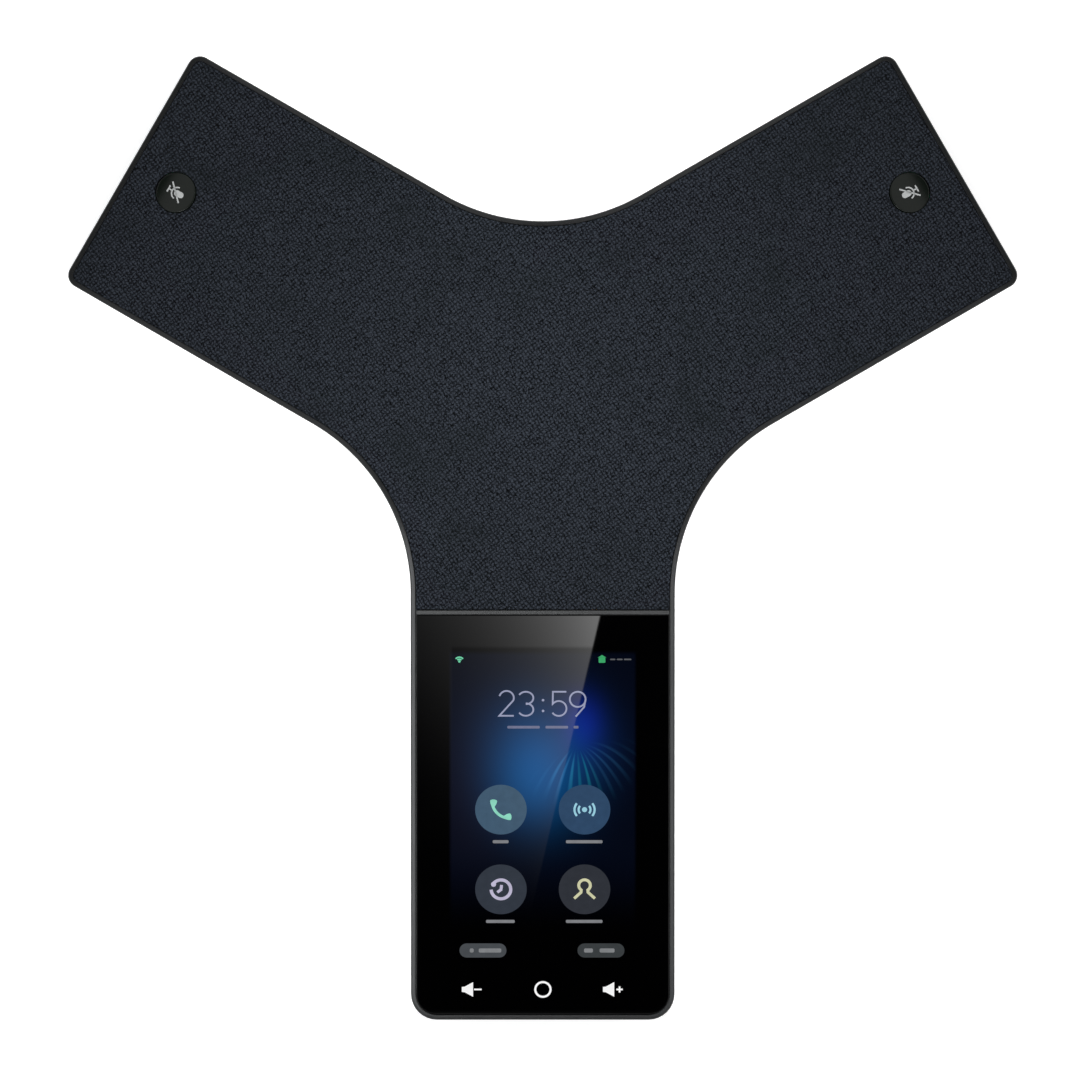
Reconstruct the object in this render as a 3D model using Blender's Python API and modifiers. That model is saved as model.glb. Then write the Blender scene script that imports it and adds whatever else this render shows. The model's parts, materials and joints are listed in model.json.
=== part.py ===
"""Y-shaped conference desk phone, built as an assembly of separate named pieces.

Metres, +Z up. The leg with the touch screen runs towards -Y, the two rear arms
run out at 120 degrees to it. Left and right are those of a user facing the screen.
Every piece hangs from an empty on the vertical axis of the hub.
"""

import math

import bmesh
import bpy
from mathutils import Vector
from mathutils.geometry import delaunay_2d_cdt

MM = 0.001
OBJECT_NAME = "conference_phone"

# --- Driving dimensions -----------------------------------------------------
ARM_WIDTH = 86.5 * MM
LEG_LENGTH = 201.9 * MM
ARM_LENGTH = 156.5 * MM
NOTCH_RADIUS = 64.2 * MM
ARM_CORNER = 4.2 * MM
LEG_CORNER = 8.5 * MM
SLOPE = math.radians(15)
PEAK = 70.0 * MM
CROWN_BLEND = 60.0 * MM
FOOT_HEIGHT = 3.0 * MM
GAP = 0.3 * MM

LEG, RIGHT, LEFT = -90, 30, 150
ARM_ANGLES = (LEG, RIGHT, LEFT)
REAR_ARMS = (("left", LEFT), ("right", RIGHT))
BISECTOR = math.radians(60)
HALF_WIDTH = ARM_WIDTH / 2
REAR_REACH = (
    (ARM_LENGTH - ARM_CORNER) * math.cos(BISECTOR)
    + (HALF_WIDTH - ARM_CORNER) * math.sin(BISECTOR)
    + ARM_CORNER
)
HUB_Y = (LEG_LENGTH - REAR_REACH) / 2

# --- Skin: rim, cloth, glass and their frame --------------------------------
RIM_WIDTH = 1.6 * MM
RIM_DEPTH = 6.0 * MM
RIM_CHAMFER = 0.5 * MM
LEDGE_TOP = 3.4 * MM
LEDGE_BOTTOM = 5.0 * MM
LEDGE_REACH = 5.0 * MM
SKIN_INSET = RIM_WIDTH + GAP
CLOTH_THICK = 0.8 * MM
CARRIER_DROP = CLOTH_THICK + GAP
CARRIER_THICK = 2.0 * MM
CARRIER_BOTTOM = CARRIER_DROP + CARRIER_THICK
DIVIDER_REACH = 68.2 * MM
DIVIDER_WIDTH = 1.3 * MM
DIVIDER_DEPTH = 3.1 * MM
CLOTH_END = DIVIDER_REACH - DIVIDER_WIDTH / 2 - GAP
GLASS_START = DIVIDER_REACH + DIVIDER_WIDTH / 2 + GAP
GLASS_END = LEG_LENGTH - SKIN_INSET
GLASS_HALF = HALF_WIDTH - SKIN_INSET
GLASS_THICK = 1.8 * MM
GASKET_THICK = 1.0 * MM
GASKET_WIDTH = 3.0 * MM
SHARP_CORNER = 0.4 * MM
LATTICE = 9.0 * MM
LATTICE_MARGIN = 0.38 * LATTICE
SHARP_ABOVE = math.radians(35)
BEVEL_ABOVE = math.radians(50)

# --- Housing ----------------------------------------------------------------
WALL = 2.2 * MM
HOUSING_DROP = RIM_DEPTH + GAP
BASE_INSET = 12.0 * MM
SKIRT_INSET = 9.5 * MM
SKIRT_HEIGHT = FOOT_HEIGHT + 2.0 * MM
BASE_CORNER = 8.0 * MM
FLOOR = FOOT_HEIGHT + WALL
FLOOR_FILLET = 2.3 * MM

# --- Feet and label ---------------------------------------------------------
FOOT_LENGTH = 40.0 * MM
FOOT_WIDTH = 12.0 * MM
FOOT_SINK = 0.5 * MM
FOOT_BEVEL = 0.8 * MM
FOOT_END_FLAT = 0.1 * MM
FOOT_FROM_END = 24.0 * MM
LABEL_SIZE = (52.0 * MM, 30.0 * MM)
LABEL_THICK = 0.3 * MM
LABEL_Y = -20.0 * MM

# --- Screws and posts -------------------------------------------------------
SCREW_SHAFT = 1.5 * MM
SCREW_HEAD = 3.0 * MM
SCREW_HEAD_HEIGHT = 1.6 * MM
SCREW_HOLE = SCREW_SHAFT + 0.25 * MM
BOSS_RADIUS = 4.8 * MM
BOSS_TOP = FLOOR + 3.0 * MM
WELL_RADIUS = SCREW_HEAD + 0.4 * MM
WELL_TOP = FOOT_HEIGHT + 2.8 * MM
PILLAR_RADIUS = 3.6 * MM
PILLAR_BOTTOM = BOSS_TOP + GAP
HOUSING_SCREW_LENGTH = 14.0 * MM
ARM_SCREW_REACH = 118.0 * MM
LEG_SCREW_REACH = 130.0 * MM
LEG_SCREW_X = 26.0 * MM
HOUSING_SCREW_SHAFT = HOUSING_SCREW_LENGTH - 2.0 * MM
SPEAKER_SCREW_SHAFT = 11.0 * MM
SPEAKER_BORE_DEPTH = 10.0 * MM
SCREW_STEPS = 12

# --- Display ----------------------------------------------------------------
ACTIVE_WIDTH = 62.1 * MM
ACTIVE_LENGTH = 110.4 * MM
ACTIVE_START = 80.5 * MM / math.cos(SLOPE)
ACTIVE_END = ACTIVE_START + ACTIVE_LENGTH
PANEL_SIDE = 2.3 * MM
PANEL_LEDGE = 6.0 * MM
PANEL_TAIL = 1.2 * MM
PANEL_THICK = 1.4 * MM
BACKLIGHT_THICK = 2.2 * MM
BRACKET_THICK = 0.8 * MM
BRACKET_SIDE = 1.2 * MM
PANEL_DROP = GLASS_THICK * math.cos(SLOPE) + GAP
KEY_REACH = 191.9 * MM / math.cos(SLOPE)
KEY_STRIP = (60.0 * MM, 5.6 * MM)
KEY_GUIDE_THICK = 1.0 * MM
KEY_BOARD_THICK = 1.0 * MM
FLEX_X = 15.0 * MM
FLEX_WIDTH = 12.0 * MM
FLEX_THICK = 0.4 * MM
TAIL_X = -17.0 * MM
TAIL_WIDTH = 8.0 * MM
TAIL_CLEARANCE = 0.7 * MM
TAIL_LEAVES_PAN = 103.0 * MM
TAIL_DESCENT = (
    (-86.0 * MM, 36.0 * MM),
    (-72.0 * MM, 26.0 * MM),
    (-58.0 * MM, 14.0 * MM),
    (-51.0 * MM, 11.4 * MM),
)
TAIL_LANDING = 3.0 * MM
FLEX_DESCENT = (
    (-65.0 * MM, 43.0 * MM),
    (-60.5 * MM, 38.0 * MM),
    (-59.0 * MM, 26.0 * MM),
    (-56.0 * MM, 16.5 * MM),
    (-51.0 * MM, 12.2 * MM),
)
FLEX_LANDING = 6.0 * MM
LAMP_EDGE = 0.4 * MM
GUIDE_EDGE = 0.2 * MM

# --- Loudspeaker: (radius, height) of the driver and its box -----------------
SPEAKER_Y = -4.0 * MM
STEPS = 24
FINE_STEPS = 32
TUB_RADIUS = 42.5 * MM
TUB_WALL = 2.2 * MM
TUB_BOTTOM = 25.0 * MM
TUB_FLOOR = TUB_BOTTOM + 2.0 * MM
TUB_TOP = 51.0 * MM
TUB_COLLAR = 37.2 * MM
TUB_COLLAR_HEIGHT = 2.5 * MM
EAR_REACH = 46.5 * MM
EAR_RADIUS = 4.5 * MM
EAR_BOTTOM = 43.0 * MM
EAR_TOP = 46.0 * MM
POLE_RADIUS = 9.4 * MM
GAP_RADIUS = 10.9 * MM
MAGNET_RADIUS = 20.0 * MM
MAGNET_HOLE = 13.0 * MM
YOKE_BOTTOM = TUB_FLOOR + 0.6 * MM
YOKE_PLATE = 3.0 * MM
MAGNET_HEIGHT = 5.0 * MM
TOP_PLATE = 3.0 * MM
MAGNET_BOTTOM = YOKE_BOTTOM + YOKE_PLATE + GAP
PLATE_BOTTOM = MAGNET_BOTTOM + MAGNET_HEIGHT + GAP
PLATE_TOP = PLATE_BOTTOM + TOP_PLATE
BASKET_BOTTOM = PLATE_TOP + GAP
SHEET_METAL = 1.2 * MM
FLANGE_RADIUS = 42.0 * MM
BASKET_WAIST = 25.0 * MM
BASKET_SHOULDER = 36.2 * MM
BASKET_SLANT = 1.6 * MM
BASKET_WINDOWS = 6
BASKET_WINDOW_RADIUS = 4.6 * MM
BASKET_WINDOW_MARGIN = (3.0 * MM, 2.5 * MM)
FLANGE_BOTTOM = TUB_TOP + GAP
FLANGE_TOP = FLANGE_BOTTOM + SHEET_METAL
CONE_RADIUS = 29.0 * MM
CONE_NECK = 10.4 * MM
CONE_TOP = FLANGE_TOP + 0.5 * MM
CONE_FOOT = 44.9 * MM
PAPER = 0.6 * MM
COIL_INNER = 9.8 * MM
COIL_FORMER = 10.1 * MM
COIL_OUTER = 10.5 * MM
COIL_BOTTOM = 35.0 * MM
WINDING_TOP = 41.0 * MM
COIL_TOP = 46.0 * MM
CAP_RADIUS = 12.4 * MM
CAP_BOTTOM = 46.6 * MM
CAP_RISE = 4.4 * MM
CAP_THICK = 0.45 * MM
CAP_STEPS = 4
CAP_INNER_SHARE = 0.97
ROLL_RADIUS = 2.4 * MM
ROLL_THICK = 0.5 * MM
ROLL_STEPS = 5
ROLL_LAND = 1.6 * MM
ROLL_CENTRE = CONE_RADIUS + 0.6 * MM + ROLL_RADIUS
SPIDER_INNER = COIL_OUTER + 0.4 * MM
SPIDER_OUTER = 23.4 * MM
SPIDER_WAVES = 4
SPIDER_HEIGHT = 0.7 * MM
SPIDER_THICK = 0.4 * MM
SPEAKER_GASKET = (38.0 * MM, 41.4 * MM, 1.2 * MM)
LEAD_REACH = 33.5 * MM
LEAD_ANGLE = -50
GRILLE_RADIUS = 31.0 * MM
GRILLE_HOLE = 2.9 * MM

# --- Boards and sockets -----------------------------------------------------
BOARD_THICK = 1.6 * MM
BOARD_BOTTOM = BOSS_TOP + GAP
BOARD_TOP = BOARD_BOTTOM + BOARD_THICK
PART_BOTTOM = BOARD_TOP + GAP
BOARD_FRONT = -45.5 * MM
BOARD_STEP = 6.0 * MM
BOARD_REAR = 43.8 * MM
BOARD_HALF_FRONT = 29.0 * MM
BOARD_HALF_REAR = 36.4 * MM
BOARD_TAPER_START = 30.0 * MM
CONNECTOR_Y = BOARD_FRONT + 1.5 * MM
SUPPORT_FROM_EDGE = 5.0 * MM
SUPPORT_FROM_REAR = 16.0 * MM
CAN_LOW = (-14.0 * MM, -26.0 * MM)
CAN_HIGH = (16.0 * MM, 4.0 * MM)
CAN_HEIGHT = 3.0 * MM
CAN_WALL = 0.4 * MM
TRANSFORMER_LOW = (-31.0 * MM, 6.0 * MM)
TRANSFORMER_HIGH = (-13.0 * MM, 20.0 * MM)
TRANSFORMER_HEIGHT = 11.0 * MM
TRANSFORMER_EDGE = 0.8 * MM
ANTENNA_SPAN = (-40.0 * MM, -27.0 * MM)
ANTENNA_X = -23.0 * MM
ANTENNA_WIDTH = 5.0 * MM
ANTENNA_HEIGHT = 9.0 * MM
ANTENNA_THICK = 0.5 * MM
PORT_FACE = 46.8 * MM
BEZEL_BACK = 44.5 * MM
BEZEL_PLATE = 2.0 * MM
BEZEL_HALF = 27.0 * MM
BEZEL_BOTTOM = 8.5 * MM
BEZEL_TOP = 26.0 * MM
BEZEL_WALL = 1.5 * MM
BEZEL_DEPTH = 18.0 * MM
BEZEL_NOTCH_STEPS = 120
WINDOW_SPAN = (PORT_FACE - 4.0 * MM, PORT_FACE + 20.0 * MM)
JACK_SIZE = (16.0 * MM, 21.0 * MM, 13.5 * MM)
JACK_X = -14.0 * MM
JACK_MOUTH = (5.9 * MM, 13.0 * MM, 3.2 * MM, 10.2 * MM)
JACK_LATCH = (3.0 * MM, 1.6 * MM)
USB_SHELL = 0.35 * MM
USB_A_SIZE = (13.2 * MM, 14.0 * MM, 5.7 * MM)
USB_A_DEPTH = 9.5 * MM
USB_A_TONGUE = (5.6 * MM, 0.9 * MM, 0.7 * MM)
USB_A_X = 5.0 * MM
USB_C_SIZE = (9.0 * MM, 7.5 * MM, 3.3 * MM)
USB_C_DEPTH = 6.0 * MM
USB_C_TONGUE = (3.3 * MM, 0.35 * MM, 0)
USB_C_X = 19.0 * MM
LOCK_SLOT = (7.0 * MM, 3.0 * MM)
LOCK_PLATE = (11.0 * MM, 1.5 * MM, 8.0 * MM)
LOCK_CENTRE = (18.5 * MM, 19.5 * MM)
LOCK_MARGIN = 0.8 * MM

# --- Microphones and mute keys ----------------------------------------------
MUTE_REACH = 138.9 * MM
MUTE_RADIUS = 6.5 * MM
MUTE_DEPTH = 4.4 * MM
MUTE_STEPS = 24
GUIDE_RADIUS = 5.0 * MM
GUIDE_HEIGHT = 3.0 * MM
MUTE_BOARD = (26.0 * MM, 16.0 * MM, 1.2 * MM)
MIC_REACH = {"left": 96.0 * MM, "right": 96.0 * MM, "front": 58.5 * MM}
MIC_BOARD = (14.0 * MM, 9.0 * MM, 1.0 * MM)
MIC_HOLE = 0.9 * MM
MIC_GASKET_RADIUS = 4.0 * MM
MIC_GASKET_HEIGHT = 1.0 * MM
WIRE_RADIUS = 0.9 * MM
MUTE_CABLE_DROP = 11.0 * MM
MIC_CABLE_DROP = 7.4 * MM
CABLE_FLOOR = FLOOR + WIRE_RADIUS + 2 * GAP
CABLE_PLUG = PART_BOTTOM + WIRE_RADIUS + GAP
ARM_CABLE_HUNG = (  # reach along the arm, offset across it, depth below the crown
    (MUTE_REACH, 5.0 * MM, MUTE_CABLE_DROP),
    (MUTE_REACH - 12.0 * MM, 8.0 * MM, MUTE_CABLE_DROP),
    (MIC_REACH["left"] + 14.0 * MM, 8.0 * MM, MUTE_CABLE_DROP),
    (MIC_REACH["left"] + 4.0 * MM, 3.0 * MM, MIC_CABLE_DROP),
    (MIC_REACH["left"] - 5.0 * MM, 3.0 * MM, MIC_CABLE_DROP),
    (MIC_REACH["left"] - 13.0 * MM, 6.0 * MM, 2 * MIC_CABLE_DROP),
)
ARM_CABLE_LAID = (  # reach along the arm, offset across it, height
    (72.0 * MM, 9.0 * MM, CABLE_FLOOR + 4.0 * MM),
    (62.0 * MM, 9.0 * MM, CABLE_FLOOR),
    (50.0 * MM, 8.0 * MM, CABLE_PLUG),
    (41.0 * MM, 5.0 * MM, CABLE_PLUG),
    (36.0 * MM, 5.0 * MM, CABLE_PLUG),
)
FRONT_CABLE_X = -10.0 * MM
FRONT_CABLE = (
    (-5.0 * MM, -60.0 * MM, 47.5 * MM),
    (-6.0 * MM, -60.0 * MM, 43.0 * MM),
    (FRONT_CABLE_X, -57.0 * MM, 30.0 * MM),
    (FRONT_CABLE_X, -54.0 * MM, 16.0 * MM),
    (FRONT_CABLE_X, -49.0 * MM, CABLE_PLUG + MM),
    (FRONT_CABLE_X, -43.0 * MM, CABLE_PLUG),
)
LEAD_INSIDE = 7.0 * MM
LEAD_DESCENT = (  # shift towards -X, shift towards +Y, height
    (0, 0, TUB_BOTTOM - 3.0 * MM),
    (1.0 * MM, 2.0 * MM, TUB_BOTTOM - 6.0 * MM),
    (1.0 * MM, 3.0 * MM, PART_BOTTOM + MM),
)
MIC_GASKET_STEPS = 16
MIC_HOLE_STEPS = 6

EDGE_STEPS = 4
END_STEPS = 3
CORNER_STEPS = 4
NOTCH_STEPS = 10


# --- Scene and materials ----------------------------------------------------
def clear_scene():
    for obj in list(bpy.data.objects):
        bpy.data.objects.remove(obj, do_unlink=True)


def new_collection(name):
    collection = bpy.data.collections.new(name)
    bpy.context.scene.collection.children.link(collection)
    return collection


def new_empty(name, parent, location=(0, 0, 0), rotation=(0, 0, 0)):
    empty = bpy.data.objects.new(name, None)
    empty.empty_display_size = 5 * MM
    empty.location = location
    empty.rotation_euler = rotation
    empty.parent = parent
    PARTS.objects.link(empty)
    return empty


def paint(obj, look):
    """Give a piece its own material: base colour, roughness and metal share."""
    colour, roughness, metallic = look
    material = bpy.data.materials.new(obj.name + "_finish")
    material.use_nodes = True
    shader = material.node_tree.nodes["Principled BSDF"]
    shader.inputs["Base Color"].default_value = (*colour, 1)
    shader.inputs["Roughness"].default_value = roughness
    shader.inputs["Metallic"].default_value = metallic
    material.diffuse_color = (*colour, 1)
    obj.data.materials.append(material)


BLACK_PLASTIC = ((0.018, 0.019, 0.021), 0.55, 0)
GUNMETAL = ((0.12, 0.125, 0.125), 0.35, 1)
CLOTH = ((0.03, 0.036, 0.044), 0.95, 0)
GLASS = ((0.004, 0.004, 0.005), 0.08, 0)
RUBBER = ((0.02, 0.02, 0.02), 0.9, 0)
STEEL = ((0.55, 0.55, 0.56), 0.35, 1)
DARK_STEEL = ((0.08, 0.08, 0.085), 0.4, 1)
FERRITE = ((0.05, 0.05, 0.055), 0.6, 0)
COPPER = ((0.6, 0.25, 0.12), 0.4, 1)
BOARD_GREEN = ((0.01, 0.09, 0.05), 0.45, 0)
WHITE_PLASTIC = ((0.7, 0.7, 0.68), 0.5, 0)
CLEAR_PLASTIC = ((0.75, 0.78, 0.8), 0.2, 0)
FOAM = ((0.03, 0.03, 0.03), 1.0, 0)
PAPER_BLACK = ((0.02, 0.02, 0.022), 0.8, 0)
FILM_AMBER = ((0.45, 0.2, 0.03), 0.4, 0)
LABEL_SILVER = ((0.5, 0.5, 0.5), 0.5, 0)
WIRE_BLACK = ((0.015, 0.015, 0.015), 0.6, 0)


def place(mesh, name, look, parent, smooth=False):
    """Put a mesh in the object's collection as a named piece."""
    if smooth:
        mesh.shade_smooth()
        mesh.set_sharp_from_angle(angle=SHARP_ABOVE)
    obj = bpy.data.objects.new(name, mesh)
    obj.parent = parent
    PARTS.objects.link(obj)
    paint(obj, look)
    return obj


def place_cutter(mesh, name, parent):
    """Put a mesh aside as a hidden tool body for a Boolean."""
    obj = bpy.data.objects.new(name, mesh)
    obj.parent = parent
    obj.hide_render = True
    obj.display_type = "WIRE"
    CUTTERS.objects.link(obj)
    return obj


def to_mesh(bm, name):
    bmesh.ops.recalc_face_normals(bm, faces=bm.faces)
    mesh = bpy.data.meshes.new(name)
    bm.to_mesh(mesh)
    bm.free()
    return mesh


# --- Plan geometry ----------------------------------------------------------
def direction(degrees):
    return Vector((math.cos(math.radians(degrees)), math.sin(math.radians(degrees))))


def arc(centre, radius, start, end, steps):
    """Points along an arc, both ends included; angles in degrees."""
    turn = (end - start) / steps
    return [centre + direction(start + turn * i) * radius for i in range(steps + 1)]


def between(first, last, steps):
    """Points inside a straight run, neither end included."""
    return [first.lerp(last, i / steps) for i in range(1, steps)]


def circle(centre, radius, steps):
    return arc(centre, radius, 0, 360, steps)[:-1]


def y_outline(inset, leg_end=None, leg_corner=None, arm_corner=None):
    """The Y seen from above, set in from its outer edge, counter-clockwise."""
    half = HALF_WIDTH - inset
    notch = NOTCH_RADIUS + inset
    reach = (half + notch) / math.sin(BISECTOR)
    rounded = {
        LEG: leg_corner or max(LEG_CORNER - inset, SHARP_CORNER),
        RIGHT: arm_corner or max(ARM_CORNER - inset, SHARP_CORNER),
    }
    points = []
    for angle in ARM_ANGLES:
        end = leg_end or LEG_LENGTH - inset
        if angle != LEG:
            end = ARM_LENGTH - inset
        corner = rounded[LEG if angle == LEG else RIGHT]
        along = direction(angle)
        across = direction(angle + 90)
        root = along * reach / 2
        centre = along * (end - corner)
        side = across * (half - corner)
        first = arc(centre - side, corner, angle - 90, angle, CORNER_STEPS)
        second = arc(centre + side, corner, angle, angle + 90, CORNER_STEPS)
        points += between(root - across * half, first[0], EDGE_STEPS) + first
        points += between(first[-1], second[0], END_STEPS) + second
        points += between(second[-1], root + across * half, EDGE_STEPS)
        points += arc(direction(angle + 60) * reach, notch, angle - 90, angle - 150, NOTCH_STEPS)
    return points


def rounded_rectangle(width, length, corner, steps=CORNER_STEPS):
    """A rectangle with round corners about the origin, counter-clockwise."""
    x = width / 2 - corner
    y = length / 2 - corner
    quarters = ((x, -y, -90), (x, y, 0), (-x, y, 90), (-x, -y, 180))
    points = []
    for cx, cy, start in quarters:
        points += arc(Vector((cx, cy)), corner, start, start + 90, steps)
    return points


def smooth_max(a, b):
    """The larger of two lengths, blended where they are alike."""
    share = max(CROWN_BLEND - abs(a - b), 0) / CROWN_BLEND
    return max(a, b) + share**3 * CROWN_BLEND / 6


def crown(point):
    """Height of the top surface: three slopes that meet in a soft hub."""
    reaches = [point.dot(direction(angle)) for angle in (RIGHT, LEFT, LEG)]
    blended = smooth_max(smooth_max(reaches[0], reaches[1]), reaches[2])
    return PEAK - math.tan(SLOPE) * blended


def inside(point, loop):
    """Whether a point lies inside a closed outline."""
    crossings = 0
    for a, b in zip(loop, loop[1:] + loop[:1]):
        if (a.y > point.y) != (b.y > point.y):
            x = a.x + (point.y - a.y) * (b.x - a.x) / (b.y - a.y)
            crossings += x > point.x
    return crossings % 2 == 1


def distance_to_loop(point, loop):
    """Shortest distance from a point to a closed outline."""
    nearest = []
    for a, b in zip(loop, loop[1:] + loop[:1]):
        run = b - a
        share = max(0, min(1, (point - a).dot(run) / max(run.length_squared, MM**4)))
        nearest.append((point - a - run * share).length)
    return min(nearest)


def lattice_points():
    """A triangular lattice about the loudspeaker's axis that covers the object."""
    origin = Vector((0, SPEAKER_Y))
    count = int(LEG_LENGTH / LATTICE) + 2
    row = LATTICE * math.sin(BISECTOR)
    points = []
    for j in range(-count, count):
        shift = 0.5 * (j % 2)
        points += [origin + Vector(((i + shift) * LATTICE, j * row)) for i in range(-count, count)]
    return points


def lattice_inside(loops):
    """The lattice points that lie on the sheet and clear of all its edges."""
    kept = []
    for point in lattice_points():
        if not inside(point, loops[0]) or any(inside(point, hole) for hole in loops[1:]):
            continue
        if all(distance_to_loop(point, loop) > LATTICE_MARGIN for loop in loops):
            kept.append(point)
    return kept


# --- Body builders ----------------------------------------------------------
def crowned_mesh(name, outline, drop, thickness, holes=(), curved=True):
    """A sheet that follows the crown, `drop` below it, with upright edges."""
    loops = [outline, *holes]
    points = []
    edges = []
    for loop in loops:
        first = len(points)
        points += loop
        edges += [(first + i, first + (i + 1) % len(loop)) for i in range(len(loop))]
    if curved:
        points += lattice_inside(loops)
    scaled = [point / MM for point in points]
    flat, _, faces, *_ = delaunay_2d_cdt(scaled, edges, [], 0, 1e-6)
    flat = [point * MM for point in flat]
    bm = bmesh.new()
    verts = [bm.verts.new((p.x, p.y, crown(p) - drop)) for p in flat]
    for face in faces:
        middle = sum((flat[i] for i in face), Vector((0, 0))) / len(face)
        if inside(middle, outline) and not any(inside(middle, hole) for hole in holes):
            bm.faces.new([verts[i] for i in face])
    loose = [vert for vert in bm.verts if not vert.link_faces]
    bmesh.ops.delete(bm, geom=loose, context="VERTS")
    lower = bmesh.ops.extrude_face_region(bm, geom=bm.faces[:])["geom"]
    moved = [item for item in lower if isinstance(item, bmesh.types.BMVert)]
    bmesh.ops.translate(bm, verts=moved, vec=(0, 0, -thickness))
    return to_mesh(bm, name)


def loft_mesh(name, rings, ring_shaped=False):
    """Walls through a run of matching rings, capped or closed on themselves."""
    bm = bmesh.new()
    rows = [[bm.verts.new(point) for point in ring] for ring in rings]
    pairs = list(zip(rows, rows[1:]))
    if ring_shaped:
        pairs.append((rows[-1], rows[0]))
    else:
        bm.faces.new(rows[0])
        bm.faces.new(rows[-1])
    count = len(rows[0])
    for low, high in pairs:
        for i in range(count):
            j = (i + 1) % count
            bm.faces.new((low[i], low[j], high[j], high[i]))
    return to_mesh(bm, name)


def level_ring(outline, height):
    return [(point.x, point.y, height) for point in outline]


def crown_ring(outline, drop):
    return [(point.x, point.y, crown(point) - drop) for point in outline]


def turned(name, profile, look, parent, steps=STEPS, closed=True):
    """A turned piece from its (radius, height) section, outer side downwards."""
    mesh = bpy.data.meshes.new(name)
    count = len(profile)
    edges = [(i, (i + 1) % count) for i in range(count if closed else count - 1)]
    mesh.from_pydata([(radius, 0, height) for radius, height in profile], edges, [])
    obj = place(mesh, name, look, parent)
    screw = obj.modifiers.new("Turn", "SCREW")
    screw.axis = "Z"
    screw.angle = math.tau
    screw.steps = steps
    screw.render_steps = steps
    screw.use_merge_vertices = True
    screw.merge_threshold = 0.00001
    screw.use_smooth_shade = False
    return obj


def boxes_mesh(name, boxes):
    """One mesh of separate boxes, each given by its lowest and highest corner."""
    bm = bmesh.new()
    for low, high in boxes:
        made = bmesh.ops.create_cube(bm, size=1)["verts"]
        low, high = Vector(low), Vector(high)
        size = high - low
        middle = (high + low) / 2
        for vert in made:
            vert.co = Vector([vert.co[i] * size[i] + middle[i] for i in range(3)])
    return to_mesh(bm, name)


def rods_mesh(name, rods, steps=16):
    """One mesh of upright rods: (x, y, radius, bottom, top) each."""
    bm = bmesh.new()
    for x, y, radius, bottom, top in rods:
        made = bmesh.ops.create_cone(
            bm, cap_ends=True, segments=steps, radius1=radius, radius2=radius, depth=top - bottom
        )
        offset = Vector((x, y, (top + bottom) / 2))
        bmesh.ops.translate(bm, verts=made["verts"], vec=offset)
    return to_mesh(bm, name)


def boolean(target, mesh, operation, parent=None):
    """Join or subtract a hidden tool body."""
    tool = place_cutter(mesh, mesh.name, parent or target.parent)
    modifier = target.modifiers.new(operation.title(), "BOOLEAN")
    modifier.operation = operation
    modifier.solver = "EXACT"
    modifier.object = tool
    return modifier


def bevel(obj, width, segments=1):
    modifier = obj.modifiers.new("Bevel", "BEVEL")
    modifier.width = width
    modifier.segments = segments
    modifier.limit_method = "ANGLE"
    modifier.angle_limit = BEVEL_ABOVE


def block(name, low, high, look, parent, edge=0):
    """A box between two corners, with its edges eased if asked."""
    obj = place(boxes_mesh(name, [(low, high)]), name, look, parent)
    if edge:
        bevel(obj, edge)
    return obj


def ribbon_mesh(name, path, x, width, thickness):
    """A flat cable: a bent line in the Y-Z plane, `thickness` thick, run across X."""
    path = [Vector(point) for point in path]
    sides = []
    for i, point in enumerate(path):
        ahead = path[min(i + 1, len(path) - 1)] - path[max(i - 1, 0)]
        normal = Vector((-ahead.y, ahead.x)).normalized() * thickness / 2
        sides.append((point + normal, point - normal))
    loop = [side[0] for side in sides] + [side[1] for side in reversed(sides)]
    rings = [[(x + shift, p.x, p.y) for p in loop] for shift in (-width / 2, width / 2)]
    return loft_mesh(name, rings)


def ribbon(name, path, x, width, thickness, look):
    return place(ribbon_mesh(name, path, x, width, thickness), name, look, HUB)


def wire(name, points, radius, look):
    """A round cable along a bent line, turned into a closed mesh."""
    curve = bpy.data.curves.new(name, "CURVE")
    curve.dimensions = "3D"
    curve.bevel_depth = radius
    curve.bevel_resolution = 1
    curve.use_fill_caps = True
    spline = curve.splines.new("POLY")
    spline.points.add(len(points) - 1)
    for target, point in zip(spline.points, points):
        target.co = (*point, 1)
    source = bpy.data.objects.new(name + "_line", curve)
    PARTS.objects.link(source)
    bpy.context.view_layer.update()
    evaluated = source.evaluated_get(bpy.context.evaluated_depsgraph_get())
    mesh = bpy.data.meshes.new_from_object(evaluated)
    bpy.data.objects.remove(source, do_unlink=True)
    bm = bmesh.new()
    bm.from_mesh(mesh)
    bmesh.ops.remove_doubles(bm, verts=bm.verts, dist=0.01 * MM)
    bpy.data.meshes.remove(mesh)
    return place(to_mesh(bm, name), name, look, HUB, smooth=True)


def slope_frame(name, angle):
    """An empty whose -Y runs down one arm's slope and whose Z stands on it."""
    return new_empty(name, HUB, (0, 0, PEAK), (SLOPE, 0, math.radians(angle + 90)))


# --- Skin -------------------------------------------------------------------
def build_rim():
    """The metal-look frame: an upright edge with a ledge that carries the skin."""
    section = (
        (RIM_CHAMFER, 0),
        (RIM_WIDTH, 0),
        (RIM_WIDTH, LEDGE_TOP),
        (LEDGE_REACH, LEDGE_TOP),
        (LEDGE_REACH, LEDGE_BOTTOM),
        (RIM_WIDTH, LEDGE_BOTTOM),
        (RIM_WIDTH, RIM_DEPTH),
        (0, RIM_DEPTH),
        (0, RIM_CHAMFER),
    )
    rings = [crown_ring(y_outline(inset), drop) for inset, drop in section]
    place(loft_mesh("trim_rim", rings, ring_shaped=True), "trim_rim", GUNMETAL, HUB)


def cloth_outline():
    return y_outline(SKIN_INSET, leg_end=CLOTH_END, leg_corner=SHARP_CORNER)


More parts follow.
